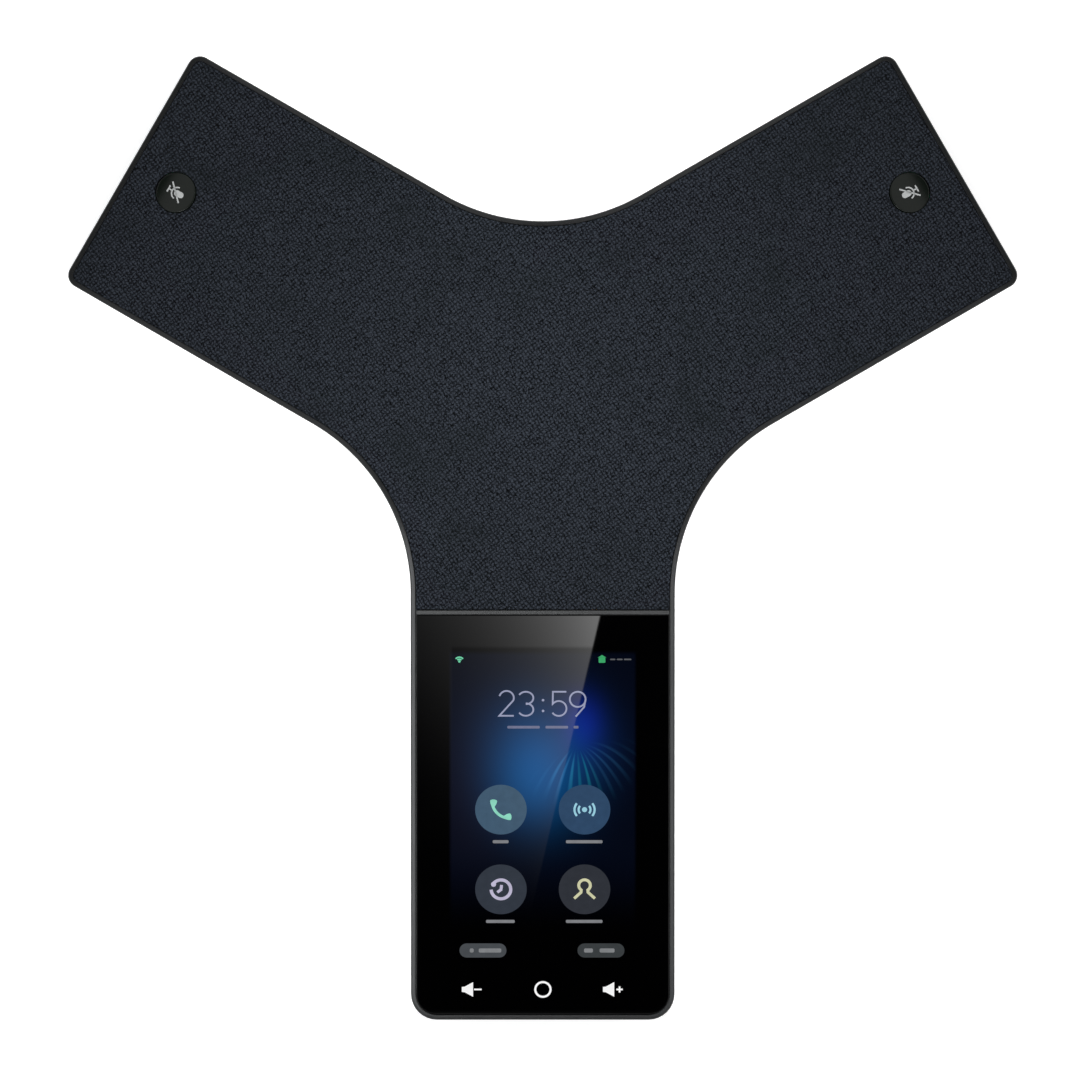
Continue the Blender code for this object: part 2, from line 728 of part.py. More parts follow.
def glass_outline():
    """The leg in front of the divider: sharp rear corners, round front ones."""
    corner = LEG_CORNER - SKIN_INSET
    x = GLASS_HALF - corner
    y = corner - GLASS_END
    left = arc(Vector((-x, y)), corner, 180, 270, CORNER_STEPS)
    right = arc(Vector((x, y)), corner, 270, 360, CORNER_STEPS)
    rear = [Vector((GLASS_HALF, -GLASS_START)), Vector((-GLASS_HALF, -GLASS_START))]
    return left + right + rear


def mute_centre(angle):
    return direction(angle) * MUTE_REACH


def mute_holes():
    radius = MUTE_RADIUS + GAP
    return [circle(mute_centre(angle), radius, MUTE_STEPS) for _, angle in REAR_ARMS]


def mic_angle(side):
    return {"left": LEFT, "right": RIGHT, "front": LEG}[side]


def mic_holes():
    return [circle(direction(mic_angle(s)) * MIC_REACH[s], MIC_HOLE, MIC_HOLE_STEPS) for s in MIC_REACH]


def grille_holes():
    """Sound holes over the loudspeaker, one at each lattice point."""
    centre = Vector((0, SPEAKER_Y))
    places = [p for p in lattice_points() if (p - centre).length < GRILLE_RADIUS]
    return [circle(p, GRILLE_HOLE, 6) for p in places]


def build_cloth():
    mesh = crowned_mesh("fabric_cover", cloth_outline(), 0, CLOTH_THICK, mute_holes())
    place(mesh, "fabric_cover", CLOTH, HUB, smooth=True)


def build_carrier():
    """The perforated carrier under the cloth, with a screw pillar in each rear arm."""
    holes = mute_holes() + mic_holes() + grille_holes()
    mesh = crowned_mesh("grille_carrier", cloth_outline(), CARRIER_DROP, CARRIER_THICK, holes)
    carrier = place(mesh, "grille_carrier", BLACK_PLASTIC, HUB)
    centres = [direction(angle) * ARM_SCREW_REACH for _, angle in REAR_ARMS]
    sunk = CARRIER_THICK / 2
    pillars = [
        (c.x, c.y, PILLAR_RADIUS, PILLAR_BOTTOM, crown(c) - CARRIER_BOTTOM + sunk) for c in centres
    ]
    bores = [
        (c.x, c.y, SCREW_HOLE, PILLAR_BOTTOM - MM, PILLAR_BOTTOM + HOUSING_SCREW_LENGTH)
        for c in centres
    ]
    boolean(carrier, rods_mesh("carrier_pillars", pillars), "UNION")
    boolean(carrier, rods_mesh("carrier_bores", bores), "DIFFERENCE")


def build_divider():
    y = (-DIVIDER_REACH - DIVIDER_WIDTH / 2, -DIVIDER_REACH + DIVIDER_WIDTH / 2)
    outline = [Vector((-GLASS_HALF, y[0])), Vector((GLASS_HALF, y[0]))]
    outline += [Vector((GLASS_HALF, y[1])), Vector((-GLASS_HALF, y[1]))]
    mesh = crowned_mesh("divider_bar", outline, 0, DIVIDER_DEPTH, curved=False)
    place(mesh, "divider_bar", GUNMETAL, HUB)


def build_glass():
    mesh = crowned_mesh("screen_glass", glass_outline(), 0, GLASS_THICK, curved=False)
    place(mesh, "screen_glass", GLASS, HUB)


def build_glass_gasket():
    """The adhesive foam frame between the glass and the ledge of the rim."""
    middle = -(GLASS_START + GLASS_END) / 2
    width = 2 * (GLASS_HALF - GASKET_WIDTH)
    length = GLASS_END - GLASS_START - 2 * GASKET_WIDTH
    window = rounded_rectangle(width, length, LEG_CORNER - LEDGE_REACH)
    window = [point + Vector((0, middle)) for point in window]
    drop = GLASS_THICK + GAP
    mesh = crowned_mesh("glass_gasket", glass_outline(), drop, GASKET_THICK, [window], curved=False)
    place(mesh, "glass_gasket", FOAM, HUB)


# --- Housing and feet -------------------------------------------------------
def notch_cone(clearance):
    """The rear notch as a solid cone, larger by `clearance` than the wall."""
    centre = direction(90) * (HALF_WIDTH + NOTCH_RADIUS) / math.sin(BISECTOR)
    rear_edge = direction(90) * (centre.y - NOTCH_RADIUS)
    top = crown(rear_edge) - HOUSING_DROP
    narrow = NOTCH_RADIUS + clearance
    rings = []
    for radius, height in ((narrow + SKIRT_INSET, SKIRT_HEIGHT), (narrow, top)):
        rings.append(level_ring(circle(centre, radius, BEZEL_NOTCH_STEPS), height))
    return loft_mesh("bezel_notch", rings)


def speaker_posts():
    centre = Vector((0, SPEAKER_Y))
    return [centre + direction(angle) * EAR_REACH for angle in ARM_ANGLES]


def housing_screw_places():
    places = {f"housing_screw_arm_{s}": direction(a) * ARM_SCREW_REACH for s, a in REAR_ARMS}
    places["housing_screw_leg_left"] = Vector((-LEG_SCREW_X, -LEG_SCREW_REACH))
    places["housing_screw_leg_right"] = Vector((LEG_SCREW_X, -LEG_SCREW_REACH))
    return places


def board_supports():
    rear = BOARD_REAR - SUPPORT_FROM_REAR
    front = BOARD_FRONT + SUPPORT_FROM_EDGE
    side = BOARD_HALF_FRONT - SUPPORT_FROM_EDGE
    return [Vector((x, y)) for x in (-side, side) for y in (front, rear)]


def foot_places():
    return {
        "foot_front": (LEG, LEG_LENGTH - FOOT_FROM_END),
        "foot_right": (RIGHT, ARM_LENGTH - FOOT_FROM_END),
        "foot_left": (LEFT, ARM_LENGTH - FOOT_FROM_END),
    }


def foot_ring(angle, reach, grow, height):
    """A stadium lying across an arm, larger by `grow` than the pad."""
    width = FOOT_WIDTH + 2 * grow
    outline = rounded_rectangle(FOOT_LENGTH + 2 * grow, width, width / 2 - FOOT_END_FLAT)
    along = direction(angle)
    across = direction(angle + 90)
    return [(*(along * reach + across * p.x + along * p.y), height) for p in outline]


def housing_cutters():
    """Wells, foot and label recesses and the socket window, as separate bodies."""
    screws = housing_screw_places().values()
    post_bore = (SCREW_HOLE, EAR_BOTTOM - SPEAKER_BORE_DEPTH, EAR_BOTTOM + MM)
    wells = [(p.x, p.y, WELL_RADIUS, FOOT_HEIGHT - MM, WELL_TOP) for p in screws]
    bores = [(p.x, p.y, SCREW_HOLE, WELL_TOP - MM, BOSS_TOP + MM) for p in screws]
    bores += [(p.x, p.y, *post_bore) for p in speaker_posts()]
    yield rods_mesh("housing_wells", wells)
    yield rods_mesh("housing_bores", bores)
    for name, (angle, reach) in foot_places().items():
        heights = (FOOT_HEIGHT - MM, FOOT_HEIGHT + FOOT_SINK + GAP)
        rings = [foot_ring(angle, reach, GAP, height) for height in heights]
        yield loft_mesh(name + "_recess", rings)
    half = [side / 2 + GAP for side in LABEL_SIZE]
    low = (-half[0], LABEL_Y - half[1], FOOT_HEIGHT - MM)
    high = (half[0], LABEL_Y + half[1], FOOT_HEIGHT + 2 * GAP)
    yield boxes_mesh("label_recess", [(low, high)])
    low = (-BEZEL_HALF - GAP, WINDOW_SPAN[0], BEZEL_BOTTOM - GAP)
    high = (BEZEL_HALF + GAP, WINDOW_SPAN[1], BEZEL_TOP + GAP)
    yield boxes_mesh("socket_window", [(low, high)])


def build_housing():
    """The tapered tray, its screw bosses, loudspeaker posts and board supports."""
    corners = {"leg_corner": BASE_CORNER, "arm_corner": BASE_CORNER}
    base = y_outline(BASE_INSET, **corners)
    skirt = y_outline(SKIRT_INSET, **corners)
    inner = y_outline(SKIRT_INSET + WALL, **corners)
    floor = y_outline(BASE_INSET + WALL, **corners)
    rings = [
        level_ring(base, FOOT_HEIGHT),
        level_ring(skirt, SKIRT_HEIGHT),
        crown_ring(y_outline(0), HOUSING_DROP),
        crown_ring(y_outline(WALL), HOUSING_DROP),
        level_ring(inner, FLOOR + FLOOR_FILLET),
        level_ring(floor, FLOOR),
    ]
    housing = place(loft_mesh("bottom_housing", rings), "bottom_housing", BLACK_PLASTIC, HUB)
    sunk = FLOOR - MM
    rods = [(p.x, p.y, PILLAR_RADIUS, sunk, EAR_BOTTOM - GAP) for p in speaker_posts()]
    rods += [(p.x, p.y, BOSS_RADIUS, sunk, BOSS_TOP) for p in housing_screw_places().values()]
    rods += [(p.x, p.y, PILLAR_RADIUS, sunk, BOSS_TOP) for p in board_supports()]
    boolean(housing, rods_mesh("housing_posts", rods), "UNION")
    for mesh in housing_cutters():
        boolean(housing, mesh, "DIFFERENCE")


def build_feet():
    for name, (angle, reach) in foot_places().items():
        top = FOOT_HEIGHT + FOOT_SINK
        rings = [
            foot_ring(angle, reach, -FOOT_BEVEL, 0),
            foot_ring(angle, reach, 0, FOOT_BEVEL),
            foot_ring(angle, reach, 0, top),
        ]
        place(loft_mesh(name, rings), name, RUBBER, HUB)


def build_label():
    low = (-LABEL_SIZE[0] / 2, LABEL_Y - LABEL_SIZE[1] / 2, FOOT_HEIGHT)
    high = (LABEL_SIZE[0] / 2, LABEL_Y + LABEL_SIZE[1] / 2, FOOT_HEIGHT + LABEL_THICK)
    block("rating_label", low, high, LABEL_SILVER, HUB)


def screw(name, x, y, seat, length, up):
    """A pan-head screw on its seat; `up` tells which way the shaft points."""
    head = seat - SCREW_HEAD_HEIGHT * up
    tip = seat + length * up
    profile = [
        (0, head),
        (SCREW_HEAD * 0.8, head),
        (SCREW_HEAD, head + 0.4 * SCREW_HEAD_HEIGHT * up),
        (SCREW_HEAD, seat),
        (SCREW_SHAFT, seat),
        (SCREW_SHAFT, tip - SCREW_SHAFT * up),
        (0, tip),
    ]
    if up > 0:
        profile.reverse()
    axis = new_empty(name + "_axis", HUB, (x, y, 0))
    turned(name, profile, STEEL, axis, SCREW_STEPS, closed=False)


def build_screws():
    for name, at in housing_screw_places().items():
        screw(name, at.x, at.y, WELL_TOP - GAP, HOUSING_SCREW_SHAFT, 1)
    for side, at in zip(("front", "right", "left"), speaker_posts()):
        screw(f"speaker_screw_{side}", at.x, at.y, EAR_TOP + GAP, SPEAKER_SCREW_SHAFT, -1)


# --- Display ----------------------------------------------------------------
def slope_block(name, x, reach, drop, look, parent, edge=0):
    """A flat piece in a slope frame from its spans across, along and below."""
    low = (x[0], -reach[1], -drop[1])
    high = (x[1], -reach[0], -drop[0])
    return block(name, low, high, look, parent, edge)


def build_display():
    frame = slope_frame("display_plane", LEG)
    half = ACTIVE_WIDTH / 2 + PANEL_SIDE
    reach = (ACTIVE_START - PANEL_LEDGE, ACTIVE_END + PANEL_TAIL)
    panel = (PANEL_DROP, PANEL_DROP + PANEL_THICK)
    lamp = (panel[1] + GAP, panel[1] + GAP + BACKLIGHT_THICK)
    pan = lamp[1] + GAP
    slope_block("lcd_panel", (-half, half), reach, panel, GLASS, frame)
    slope_block("backlight_unit", (-half, half), reach, lamp, WHITE_PLASTIC, frame, LAMP_EDGE)
    build_bracket(frame, half, reach, panel[0], pan)
    key = (KEY_REACH - KEY_STRIP[1] / 2, KEY_REACH + KEY_STRIP[1] / 2)
    guide = (PANEL_DROP, PANEL_DROP + KEY_GUIDE_THICK)
    board = (guide[1] + GAP, guide[1] + GAP + KEY_BOARD_THICK)
    sides = (-KEY_STRIP[0] / 2, KEY_STRIP[0] / 2)
    slope_block("key_light_guide", sides, key, guide, CLEAR_PLASTIC, frame, GUIDE_EDGE)
    key_board = slope_block("key_board", sides, key, board, BOARD_GREEN, frame)
    tail_depth = pan + BRACKET_THICK + TAIL_CLEARANCE
    boolean(key_board, key_tail(board, tail_depth), "UNION", HUB)


def build_bracket(frame, half, reach, top, pan):
    """The sheet-metal pan behind the display, with its two screw pillars."""
    wall = half + GAP + BRACKET_SIDE
    ends = (reach[0] - GAP - BRACKET_SIDE, reach[1] + GAP)
    bottom = pan + BRACKET_THICK
    bracket = slope_block("display_bracket", (-wall, wall), ends, (top, bottom), DARK_STEEL, frame)
    low = (-half - GAP, -ends[1] - MM, -pan)
    high = (half + GAP, -reach[0] + GAP, MM)
    boolean(bracket, boxes_mesh("bracket_hollow", [(low, high)]), "DIFFERENCE")
    slot = (FLEX_X - FLEX_WIDTH / 2 - MM, FLEX_X + FLEX_WIDTH / 2 + MM)
    low = (slot[0], -reach[0], -pan)
    high = (slot[1], -ends[0] + MM, MM)
    boolean(bracket, boxes_mesh("bracket_flex_slot", [(low, high)]), "DIFFERENCE")
    pillars = []
    bores = []
    for x in (-LEG_SCREW_X, LEG_SCREW_X):
        at = Vector((x, -LEG_SCREW_REACH))
        seat = crown(at) - (pan + BRACKET_THICK / 2) / math.cos(SLOPE)
        pillars.append((x, at.y, PILLAR_RADIUS, PILLAR_BOTTOM, seat - PILLAR_RADIUS * SLOPE))
        tip = PILLAR_BOTTOM + HOUSING_SCREW_LENGTH
        bores.append((x, at.y, SCREW_HOLE, PILLAR_BOTTOM - MM, tip))
    boolean(bracket, rods_mesh("bracket_pillars", pillars), "UNION", HUB)
    boolean(bracket, rods_mesh("bracket_bores", bores), "DIFFERENCE", HUB)


def key_tail(board, depth):
    """The key board's flat tail, which runs under the pan to the main board."""
    rest = (CONNECTOR_Y, PART_BOTTOM + FLEX_THICK)
    path = [
        slope_point(KEY_REACH, (board[0] + board[1]) / 2),
        slope_point(KEY_REACH - GAP, depth - MM),
        slope_point(KEY_REACH - 2 * MM, depth),
        slope_point(TAIL_LEAVES_PAN, depth),
        *TAIL_DESCENT,
        rest,
        (rest[0] + TAIL_LANDING, rest[1]),
    ]
    return ribbon_mesh("key_board_tail", path, TAIL_X, TAIL_WIDTH, FLEX_THICK)


def slope_point(reach, drop):
    """The (y, z) of a point on the leg's slope, by distance and depth."""
    y = -reach * math.cos(SLOPE) + drop * math.sin(SLOPE)
    z = PEAK - reach * math.sin(SLOPE) - drop * math.cos(SLOPE)
    return y, z


def build_display_flex():
    """The flat cable from the panel's ledge down to the main board."""
    start = ACTIVE_START - PANEL_LEDGE - GAP
    drop = PANEL_DROP + PANEL_THICK / 2
    rest = (CONNECTOR_Y, PART_BOTTOM + FLEX_THICK)
    path = [
        slope_point(start, drop),
        slope_point(start - 2 * GAP, drop),
        slope_point(start - 2 * MM, drop + 2 * MM),
        *FLEX_DESCENT,
        rest,
        (rest[0] + FLEX_LANDING, rest[1]),
    ]
    ribbon("display_flex", path, FLEX_X, FLEX_WIDTH, FLEX_THICK, FILM_AMBER)


# --- Loudspeaker ------------------------------------------------------------
def build_tub(axis):
    """The plastic box behind the driver, with three ears for its screws."""
    inner = TUB_RADIUS - TUB_WALL
    lip = TUB_TOP - TUB_COLLAR_HEIGHT
    profile = [
        (0, TUB_FLOOR),
        (inner, TUB_FLOOR),
        (inner, lip),
        (TUB_COLLAR, lip),
        (TUB_COLLAR, TUB_TOP),
        (TUB_RADIUS, TUB_TOP),
        (TUB_RADIUS, TUB_BOTTOM),
        (0, TUB_BOTTOM),
    ]
    tub = turned("speaker_enclosure", profile, BLACK_PLASTIC, axis, FINE_STEPS, closed=False)
    places = speaker_posts()
    ears = []
    for at in places:
        out = (at - Vector((0, SPEAKER_Y))).normalized()
        reach = inner + EAR_RADIUS + MM
        root = Vector((0, SPEAKER_Y)) + out * reach
        ears.append((root.x, root.y, EAR_RADIUS, EAR_BOTTOM, EAR_TOP))
    boolean(tub, rods_mesh("tub_ears", ears), "UNION", HUB)
    holes = [(p.x, p.y, SCREW_HOLE, EAR_BOTTOM - MM, EAR_TOP + MM) for p in places]
    lead = lead_exit()
    holes.append((lead.x, lead.y, WIRE_RADIUS + GAP, TUB_BOTTOM - MM, TUB_FLOOR + MM))
    boolean(tub, rods_mesh("tub_holes", holes, 12), "DIFFERENCE", HUB)


def build_basket(axis):
    """The pressed frame of the driver, with six windows in its wall."""
    profile = [
        (FLANGE_RADIUS, FLANGE_TOP),
        (FLANGE_RADIUS, FLANGE_BOTTOM),
        (BASKET_SHOULDER, FLANGE_BOTTOM),
        (BASKET_WAIST, BASKET_BOTTOM),
        (MAGNET_HOLE, BASKET_BOTTOM),
        (MAGNET_HOLE, BASKET_BOTTOM + SHEET_METAL),
        (BASKET_WAIST - SHEET_METAL / 2, BASKET_BOTTOM + SHEET_METAL),
        (BASKET_SHOULDER - BASKET_SLANT, FLANGE_BOTTOM + GAP),
        (BASKET_SHOULDER - BASKET_SLANT, FLANGE_TOP),
    ]
    basket = turned("speaker_basket", profile, DARK_STEEL, axis, FINE_STEPS)
    windows = []
    bottom = BASKET_BOTTOM + BASKET_WINDOW_MARGIN[0]
    top = FLANGE_BOTTOM - BASKET_WINDOW_MARGIN[1]
    for i in range(BASKET_WINDOWS):
        spot = direction(360 / BASKET_WINDOWS * i) * (BASKET_WAIST + BASKET_SHOULDER) / 2
        windows.append((spot.x, spot.y, BASKET_WINDOW_RADIUS, bottom, top))
    boolean(basket, rods_mesh("basket_windows", windows, 8), "DIFFERENCE")


def build_motor(axis):
    """Yoke with its pole, ring magnet and top plate."""
    yoke_top = YOKE_BOTTOM + YOKE_PLATE
    yoke = [
        (0, PLATE_TOP),
        (POLE_RADIUS, PLATE_TOP),
        (POLE_RADIUS, yoke_top),
        (MAGNET_RADIUS - MM, yoke_top),
        (MAGNET_RADIUS - MM, YOKE_BOTTOM),
        (0, YOKE_BOTTOM),
    ]
    turned("speaker_yoke", yoke, STEEL, axis, closed=False)
    ring(axis, "speaker_magnet", MAGNET_HOLE, MAGNET_RADIUS, MAGNET_BOTTOM, MAGNET_HEIGHT, FERRITE)
    ring(axis, "speaker_top_plate", GAP_RADIUS, MAGNET_RADIUS - MM, PLATE_BOTTOM, TOP_PLATE, STEEL)


def ring(axis, name, inner, outer, bottom, height, look):
    top = bottom + height
    profile = [(outer, top), (outer, bottom), (inner, bottom), (inner, top)]
    turned(name, profile, look, axis)


def build_surround(axis):
    """The rubber half-roll between the cone's edge and the basket."""
    base = FLANGE_TOP + GAP
    land = ROLL_CENTRE + ROLL_RADIUS + ROLL_LAND
    turns = [math.pi * i / ROLL_STEPS for i in range(ROLL_STEPS + 1)]
    outer = [(ROLL_CENTRE + ROLL_RADIUS * math.cos(a), ROLL_RADIUS * math.sin(a)) for a in turns]
    small = ROLL_RADIUS - ROLL_THICK
    under = [(ROLL_CENTRE + small * math.cos(a), small * math.sin(a)) for a in reversed(turns)]
    top = [(r, base + max(z, ROLL_THICK)) for r, z in outer[:1]]
    top += [(r, base + z) for r, z in outer[1:]]
    lower = [(r, base + z) for r, z in under]
    profile = [(land, base + ROLL_THICK), (land, base)]
    profile += list(reversed(lower)) + list(reversed(top))
    turned("speaker_surround", profile, RUBBER, axis)


def build_spider(axis):
    """The corrugated cloth ring that centres the coil."""
    base = BASKET_BOTTOM + SHEET_METAL + GAP
    count = 2 * SPIDER_WAVES
    run = SPIDER_OUTER - SPIDER_INNER
    waves = [(SPIDER_INNER + run * i / count, base + SPIDER_HEIGHT * (i % 2)) for i in range(count)]
    waves.append((SPIDER_OUTER, base))
    upper = [(r, z + SPIDER_THICK) for r, z in waves]
    turned("speaker_spider", list(reversed(waves)) + upper, FILM_AMBER, axis)


def build_moving_parts(axis):
    """Cone, coil and dust cap, which slide together along the driver's axis."""
    cone = [
        (CONE_RADIUS, CONE_TOP),
        (CONE_RADIUS, CONE_TOP - PAPER),
        (CONE_NECK, CONE_FOOT - PAPER),
        (CONE_NECK, CONE_FOOT),
    ]
    turned("speaker_cone", cone, PAPER_BLACK, axis, FINE_STEPS)
    coil = [
        (COIL_FORMER, COIL_TOP),
        (COIL_FORMER, WINDING_TOP),
        (COIL_OUTER, WINDING_TOP),
        (COIL_OUTER, COIL_BOTTOM),
        (COIL_INNER, COIL_BOTTOM),
        (COIL_INNER, COIL_TOP),
    ]
    turned("voice_coil", coil, COPPER, axis)
    shares = [i / CAP_STEPS for i in range(CAP_STEPS + 1)]
    outer = [(CAP_RADIUS * s, CAP_BOTTOM + CAP_RISE * (1 - s * s)) for s in shares]
    inner = [(r * CAP_INNER_SHARE, z - CAP_THICK) for r, z in reversed(outer)]
    turned("dust_cap", outer + inner, PAPER_BLACK, axis, closed=False)


def lead_exit():
    """Where the driver's wires leave the box through its floor."""
    return Vector((0, SPEAKER_Y)) + direction(LEAD_ANGLE) * LEAD_REACH


def build_speaker():
    axis = new_empty("speaker_axis", HUB, (0, SPEAKER_Y, 0))
    motion = new_empty("cone_axis", HUB, (0, SPEAKER_Y, 0))
    build_tub(axis)
    build_basket(axis)
    build_motor(axis)
    build_surround(axis)
    build_spider(axis)
    build_moving_parts(motion)
    inner, outer, thick = SPEAKER_GASKET
    ring(axis, "speaker_gasket", inner, outer, FLANGE_TOP + GAP, thick, FOAM)
    at = lead_exit()
    points = [(at.x, at.y, BASKET_BOTTOM + LEAD_INSIDE)]
    points += [(at.x - left, at.y + back, height) for left, back, height in LEAD_DESCENT]
    wire("speaker_lead", points, WIRE_RADIUS, WIRE_BLACK)


# --- Boards and sockets -----------------------------------------------------
def build_mainboard():
    outline = [
        (-BOARD_HALF_FRONT, BOARD_FRONT),
        (BOARD_HALF_FRONT, BOARD_FRONT),
        (BOARD_HALF_FRONT, BOARD_STEP),
        (BOARD_HALF_REAR, BOARD_STEP),
        (BOARD_HALF_REAR, BOARD_TAPER_START),
        (BOARD_HALF_FRONT, BOARD_REAR),
        (-BOARD_HALF_FRONT, BOARD_REAR),
        (-BOARD_HALF_REAR, BOARD_TAPER_START),
        (-BOARD_HALF_REAR, BOARD_STEP),
        (-BOARD_HALF_FRONT, BOARD_STEP),
    ]
    rings = [[(x, y, z) for x, y in outline] for z in (BOARD_BOTTOM, BOARD_TOP)]
    place(loft_mesh("mainboard", rings), "mainboard", BOARD_GREEN, HUB)


def build_board_parts():
    """Shield can, transformer and antenna on the main board."""
    low = (*CAN_LOW, PART_BOTTOM)
    high = (*CAN_HIGH, PART_BOTTOM + CAN_HEIGHT)
    can = block("soc_shield", low, high, STEEL, HUB)
    low = (CAN_LOW[0] + CAN_WALL, CAN_LOW[1] + CAN_WALL, PART_BOTTOM - MM)
    high = (CAN_HIGH[0] - CAN_WALL, CAN_HIGH[1] - CAN_WALL, PART_BOTTOM + CAN_HEIGHT - CAN_WALL)
    boolean(can, boxes_mesh("can_hollow", [(low, high)]), "DIFFERENCE")
    low = (*TRANSFORMER_LOW, PART_BOTTOM)
    high = (*TRANSFORMER_HIGH, PART_BOTTOM + TRANSFORMER_HEIGHT)
    block("poe_transformer", low, high, FERRITE, HUB, TRANSFORMER_EDGE)
    far, near = ANTENNA_SPAN
    height = PART_BOTTOM + ANTENNA_HEIGHT
    path = [(far, height), (near, height), (near, PART_BOTTOM)]
    ribbon("wifi_antenna", path, ANTENNA_X, ANTENNA_WIDTH, ANTENNA_THICK, STEEL)


def socket_block(name, x, size, look):
    low = (x - size[0] / 2, PORT_FACE - size[1], PART_BOTTOM)
    high = (x + size[0] / 2, PORT_FACE, PART_BOTTOM + size[2])
    return block(name, low, high, look, HUB)


def build_sockets():
    """The network, USB-A and USB-C sockets on the board's rear edge."""
    jack = socket_block("ethernet_jack", JACK_X, JACK_SIZE, STEEL)
    half, depth, bottom, top = JACK_MOUTH
    face = PORT_FACE + MM
    deep = PORT_FACE - depth
    low = (JACK_X - half, deep, PART_BOTTOM + bottom)
    high = (JACK_X + half, face, PART_BOTTOM + top)
    boolean(jack, boxes_mesh("jack_hole", [(low, high)]), "DIFFERENCE")
    half, drop = JACK_LATCH
    low = (JACK_X - half, deep, PART_BOTTOM + bottom - drop)
    high = (JACK_X + half, face, PART_BOTTOM + bottom + MM)
    boolean(jack, boxes_mesh("jack_latch", [(low, high)]), "DIFFERENCE")
    usb_socket("usb_a_port", USB_A_X, USB_A_SIZE, USB_A_DEPTH, USB_A_TONGUE)
    usb_socket("usb_c_port", USB_C_X, USB_C_SIZE, USB_C_DEPTH, USB_C_TONGUE)


def usb_socket(name, x, size, depth, tongue):
    """A metal shell with a tongue that stands up from its closed rear."""
    port = socket_block(name, x, size, STEEL)
    half = size[0] / 2 - USB_SHELL
    low = (x - half, PORT_FACE - depth, PART_BOTTOM + USB_SHELL)
    high = (x + half, PORT_FACE + MM, PART_BOTTOM + size[2] - USB_SHELL)
    boolean(port, boxes_mesh(name + "_mouth", [(low, high)]), "DIFFERENCE")
    width, thick, raised = tongue
    middle = PART_BOTTOM + size[2] / 2 + raised
    low = (x - width, PORT_FACE - depth - MM, middle - thick)
    high = (x + width, PORT_FACE - MM, middle + thick)
    boolean(port, boxes_mesh(name + "_tongue", [(low, high)]), "UNION")


def build_bezel():
    """The recess behind the window in the rear wall, with a cut-out per socket."""
    low = (-BEZEL_HALF, BEZEL_BACK, BEZEL_BOTTOM)
    high = (BEZEL_HALF, BEZEL_BACK + BEZEL_DEPTH, BEZEL_TOP)
    bezel = block("io_bezel", low, high, BLACK_PLASTIC, HUB)
    low = (BEZEL_WALL - BEZEL_HALF, BEZEL_BACK + BEZEL_PLATE, BEZEL_BOTTOM + BEZEL_WALL)
    high = (BEZEL_HALF - BEZEL_WALL, WINDOW_SPAN[1], BEZEL_TOP - BEZEL_WALL)
    boolean(bezel, boxes_mesh("bezel_pocket", [(low, high)]), "DIFFERENCE")
    boolean(bezel, notch_cone(2 * GAP), "DIFFERENCE")
    holes = []
    for x, size in ((JACK_X, JACK_SIZE), (USB_A_X, USB_A_SIZE), (USB_C_X, USB_C_SIZE)):
        half = size[0] / 2 + GAP
        low = (x - half, BEZEL_BACK - MM, PART_BOTTOM - GAP)
        high = (x + half, BEZEL_BACK + BEZEL_PLATE + MM, PART_BOTTOM + size[2] + GAP)
        holes.append((low, high))
    holes.append(lock_box(BEZEL_BACK - MM, BEZEL_BACK + BEZEL_PLATE + MM, LOCK_MARGIN))
    boolean(bezel, boxes_mesh("bezel_holes", holes), "DIFFERENCE")


def lock_box(front, rear, grow):
    x, z = LOCK_CENTRE
    half = (LOCK_SLOT[0] / 2 + grow, LOCK_SLOT[1] / 2 + grow)
    return (x - half[0], front, z - half[1]), (x + half[0], rear, z + half[1])


def build_lock_slot():
    """The steel plate behind the security slot."""
    x, z = LOCK_CENTRE
    width, thick, height = LOCK_PLATE
    rear = BEZEL_BACK - GAP
    low = (x - width / 2, rear - thick, z - height / 2)
    plate = block("lock_slot_insert", low, (x + width / 2, rear, z + height / 2), STEEL, HUB)
    slot = lock_box(rear - thick - MM, rear + MM, 0)
    boolean(plate, boxes_mesh("lock_slot_cut", [slot]), "DIFFERENCE")


# --- Microphones and mute keys ----------------------------------------------
def build_mute_keys():
    """Lens, light guide and board of each mute key."""
    for side, angle in REAR_ARMS:
        outline = circle(mute_centre(angle), MUTE_RADIUS, MUTE_STEPS)
        name = f"mute_lens_{side}"
        mesh = crowned_mesh(name, outline, 0, MUTE_DEPTH, curved=False)
        place(mesh, name, GLASS, HUB)
        frame = SLOPE_FRAMES[side]
        reach = MUTE_REACH / math.cos(SLOPE)
        top = MUTE_DEPTH * math.cos(SLOPE) + GAP
        name = f"mute_light_guide_{side}"
        rod = (0, -reach, GUIDE_RADIUS, -top - GUIDE_HEIGHT, -top)
        place(rods_mesh(name, [rod]), name, CLEAR_PLASTIC, frame, smooth=True)
        half = (MUTE_BOARD[0] / 2, MUTE_BOARD[1] / 2)
        below = top + GUIDE_HEIGHT + GAP
        span = (reach - half[1], reach + half[1])
        drop = (below, below + MUTE_BOARD[2])
        slope_block(f"mute_board_{side}", (-half[0], half[0]), span, drop, BOARD_GREEN, frame)


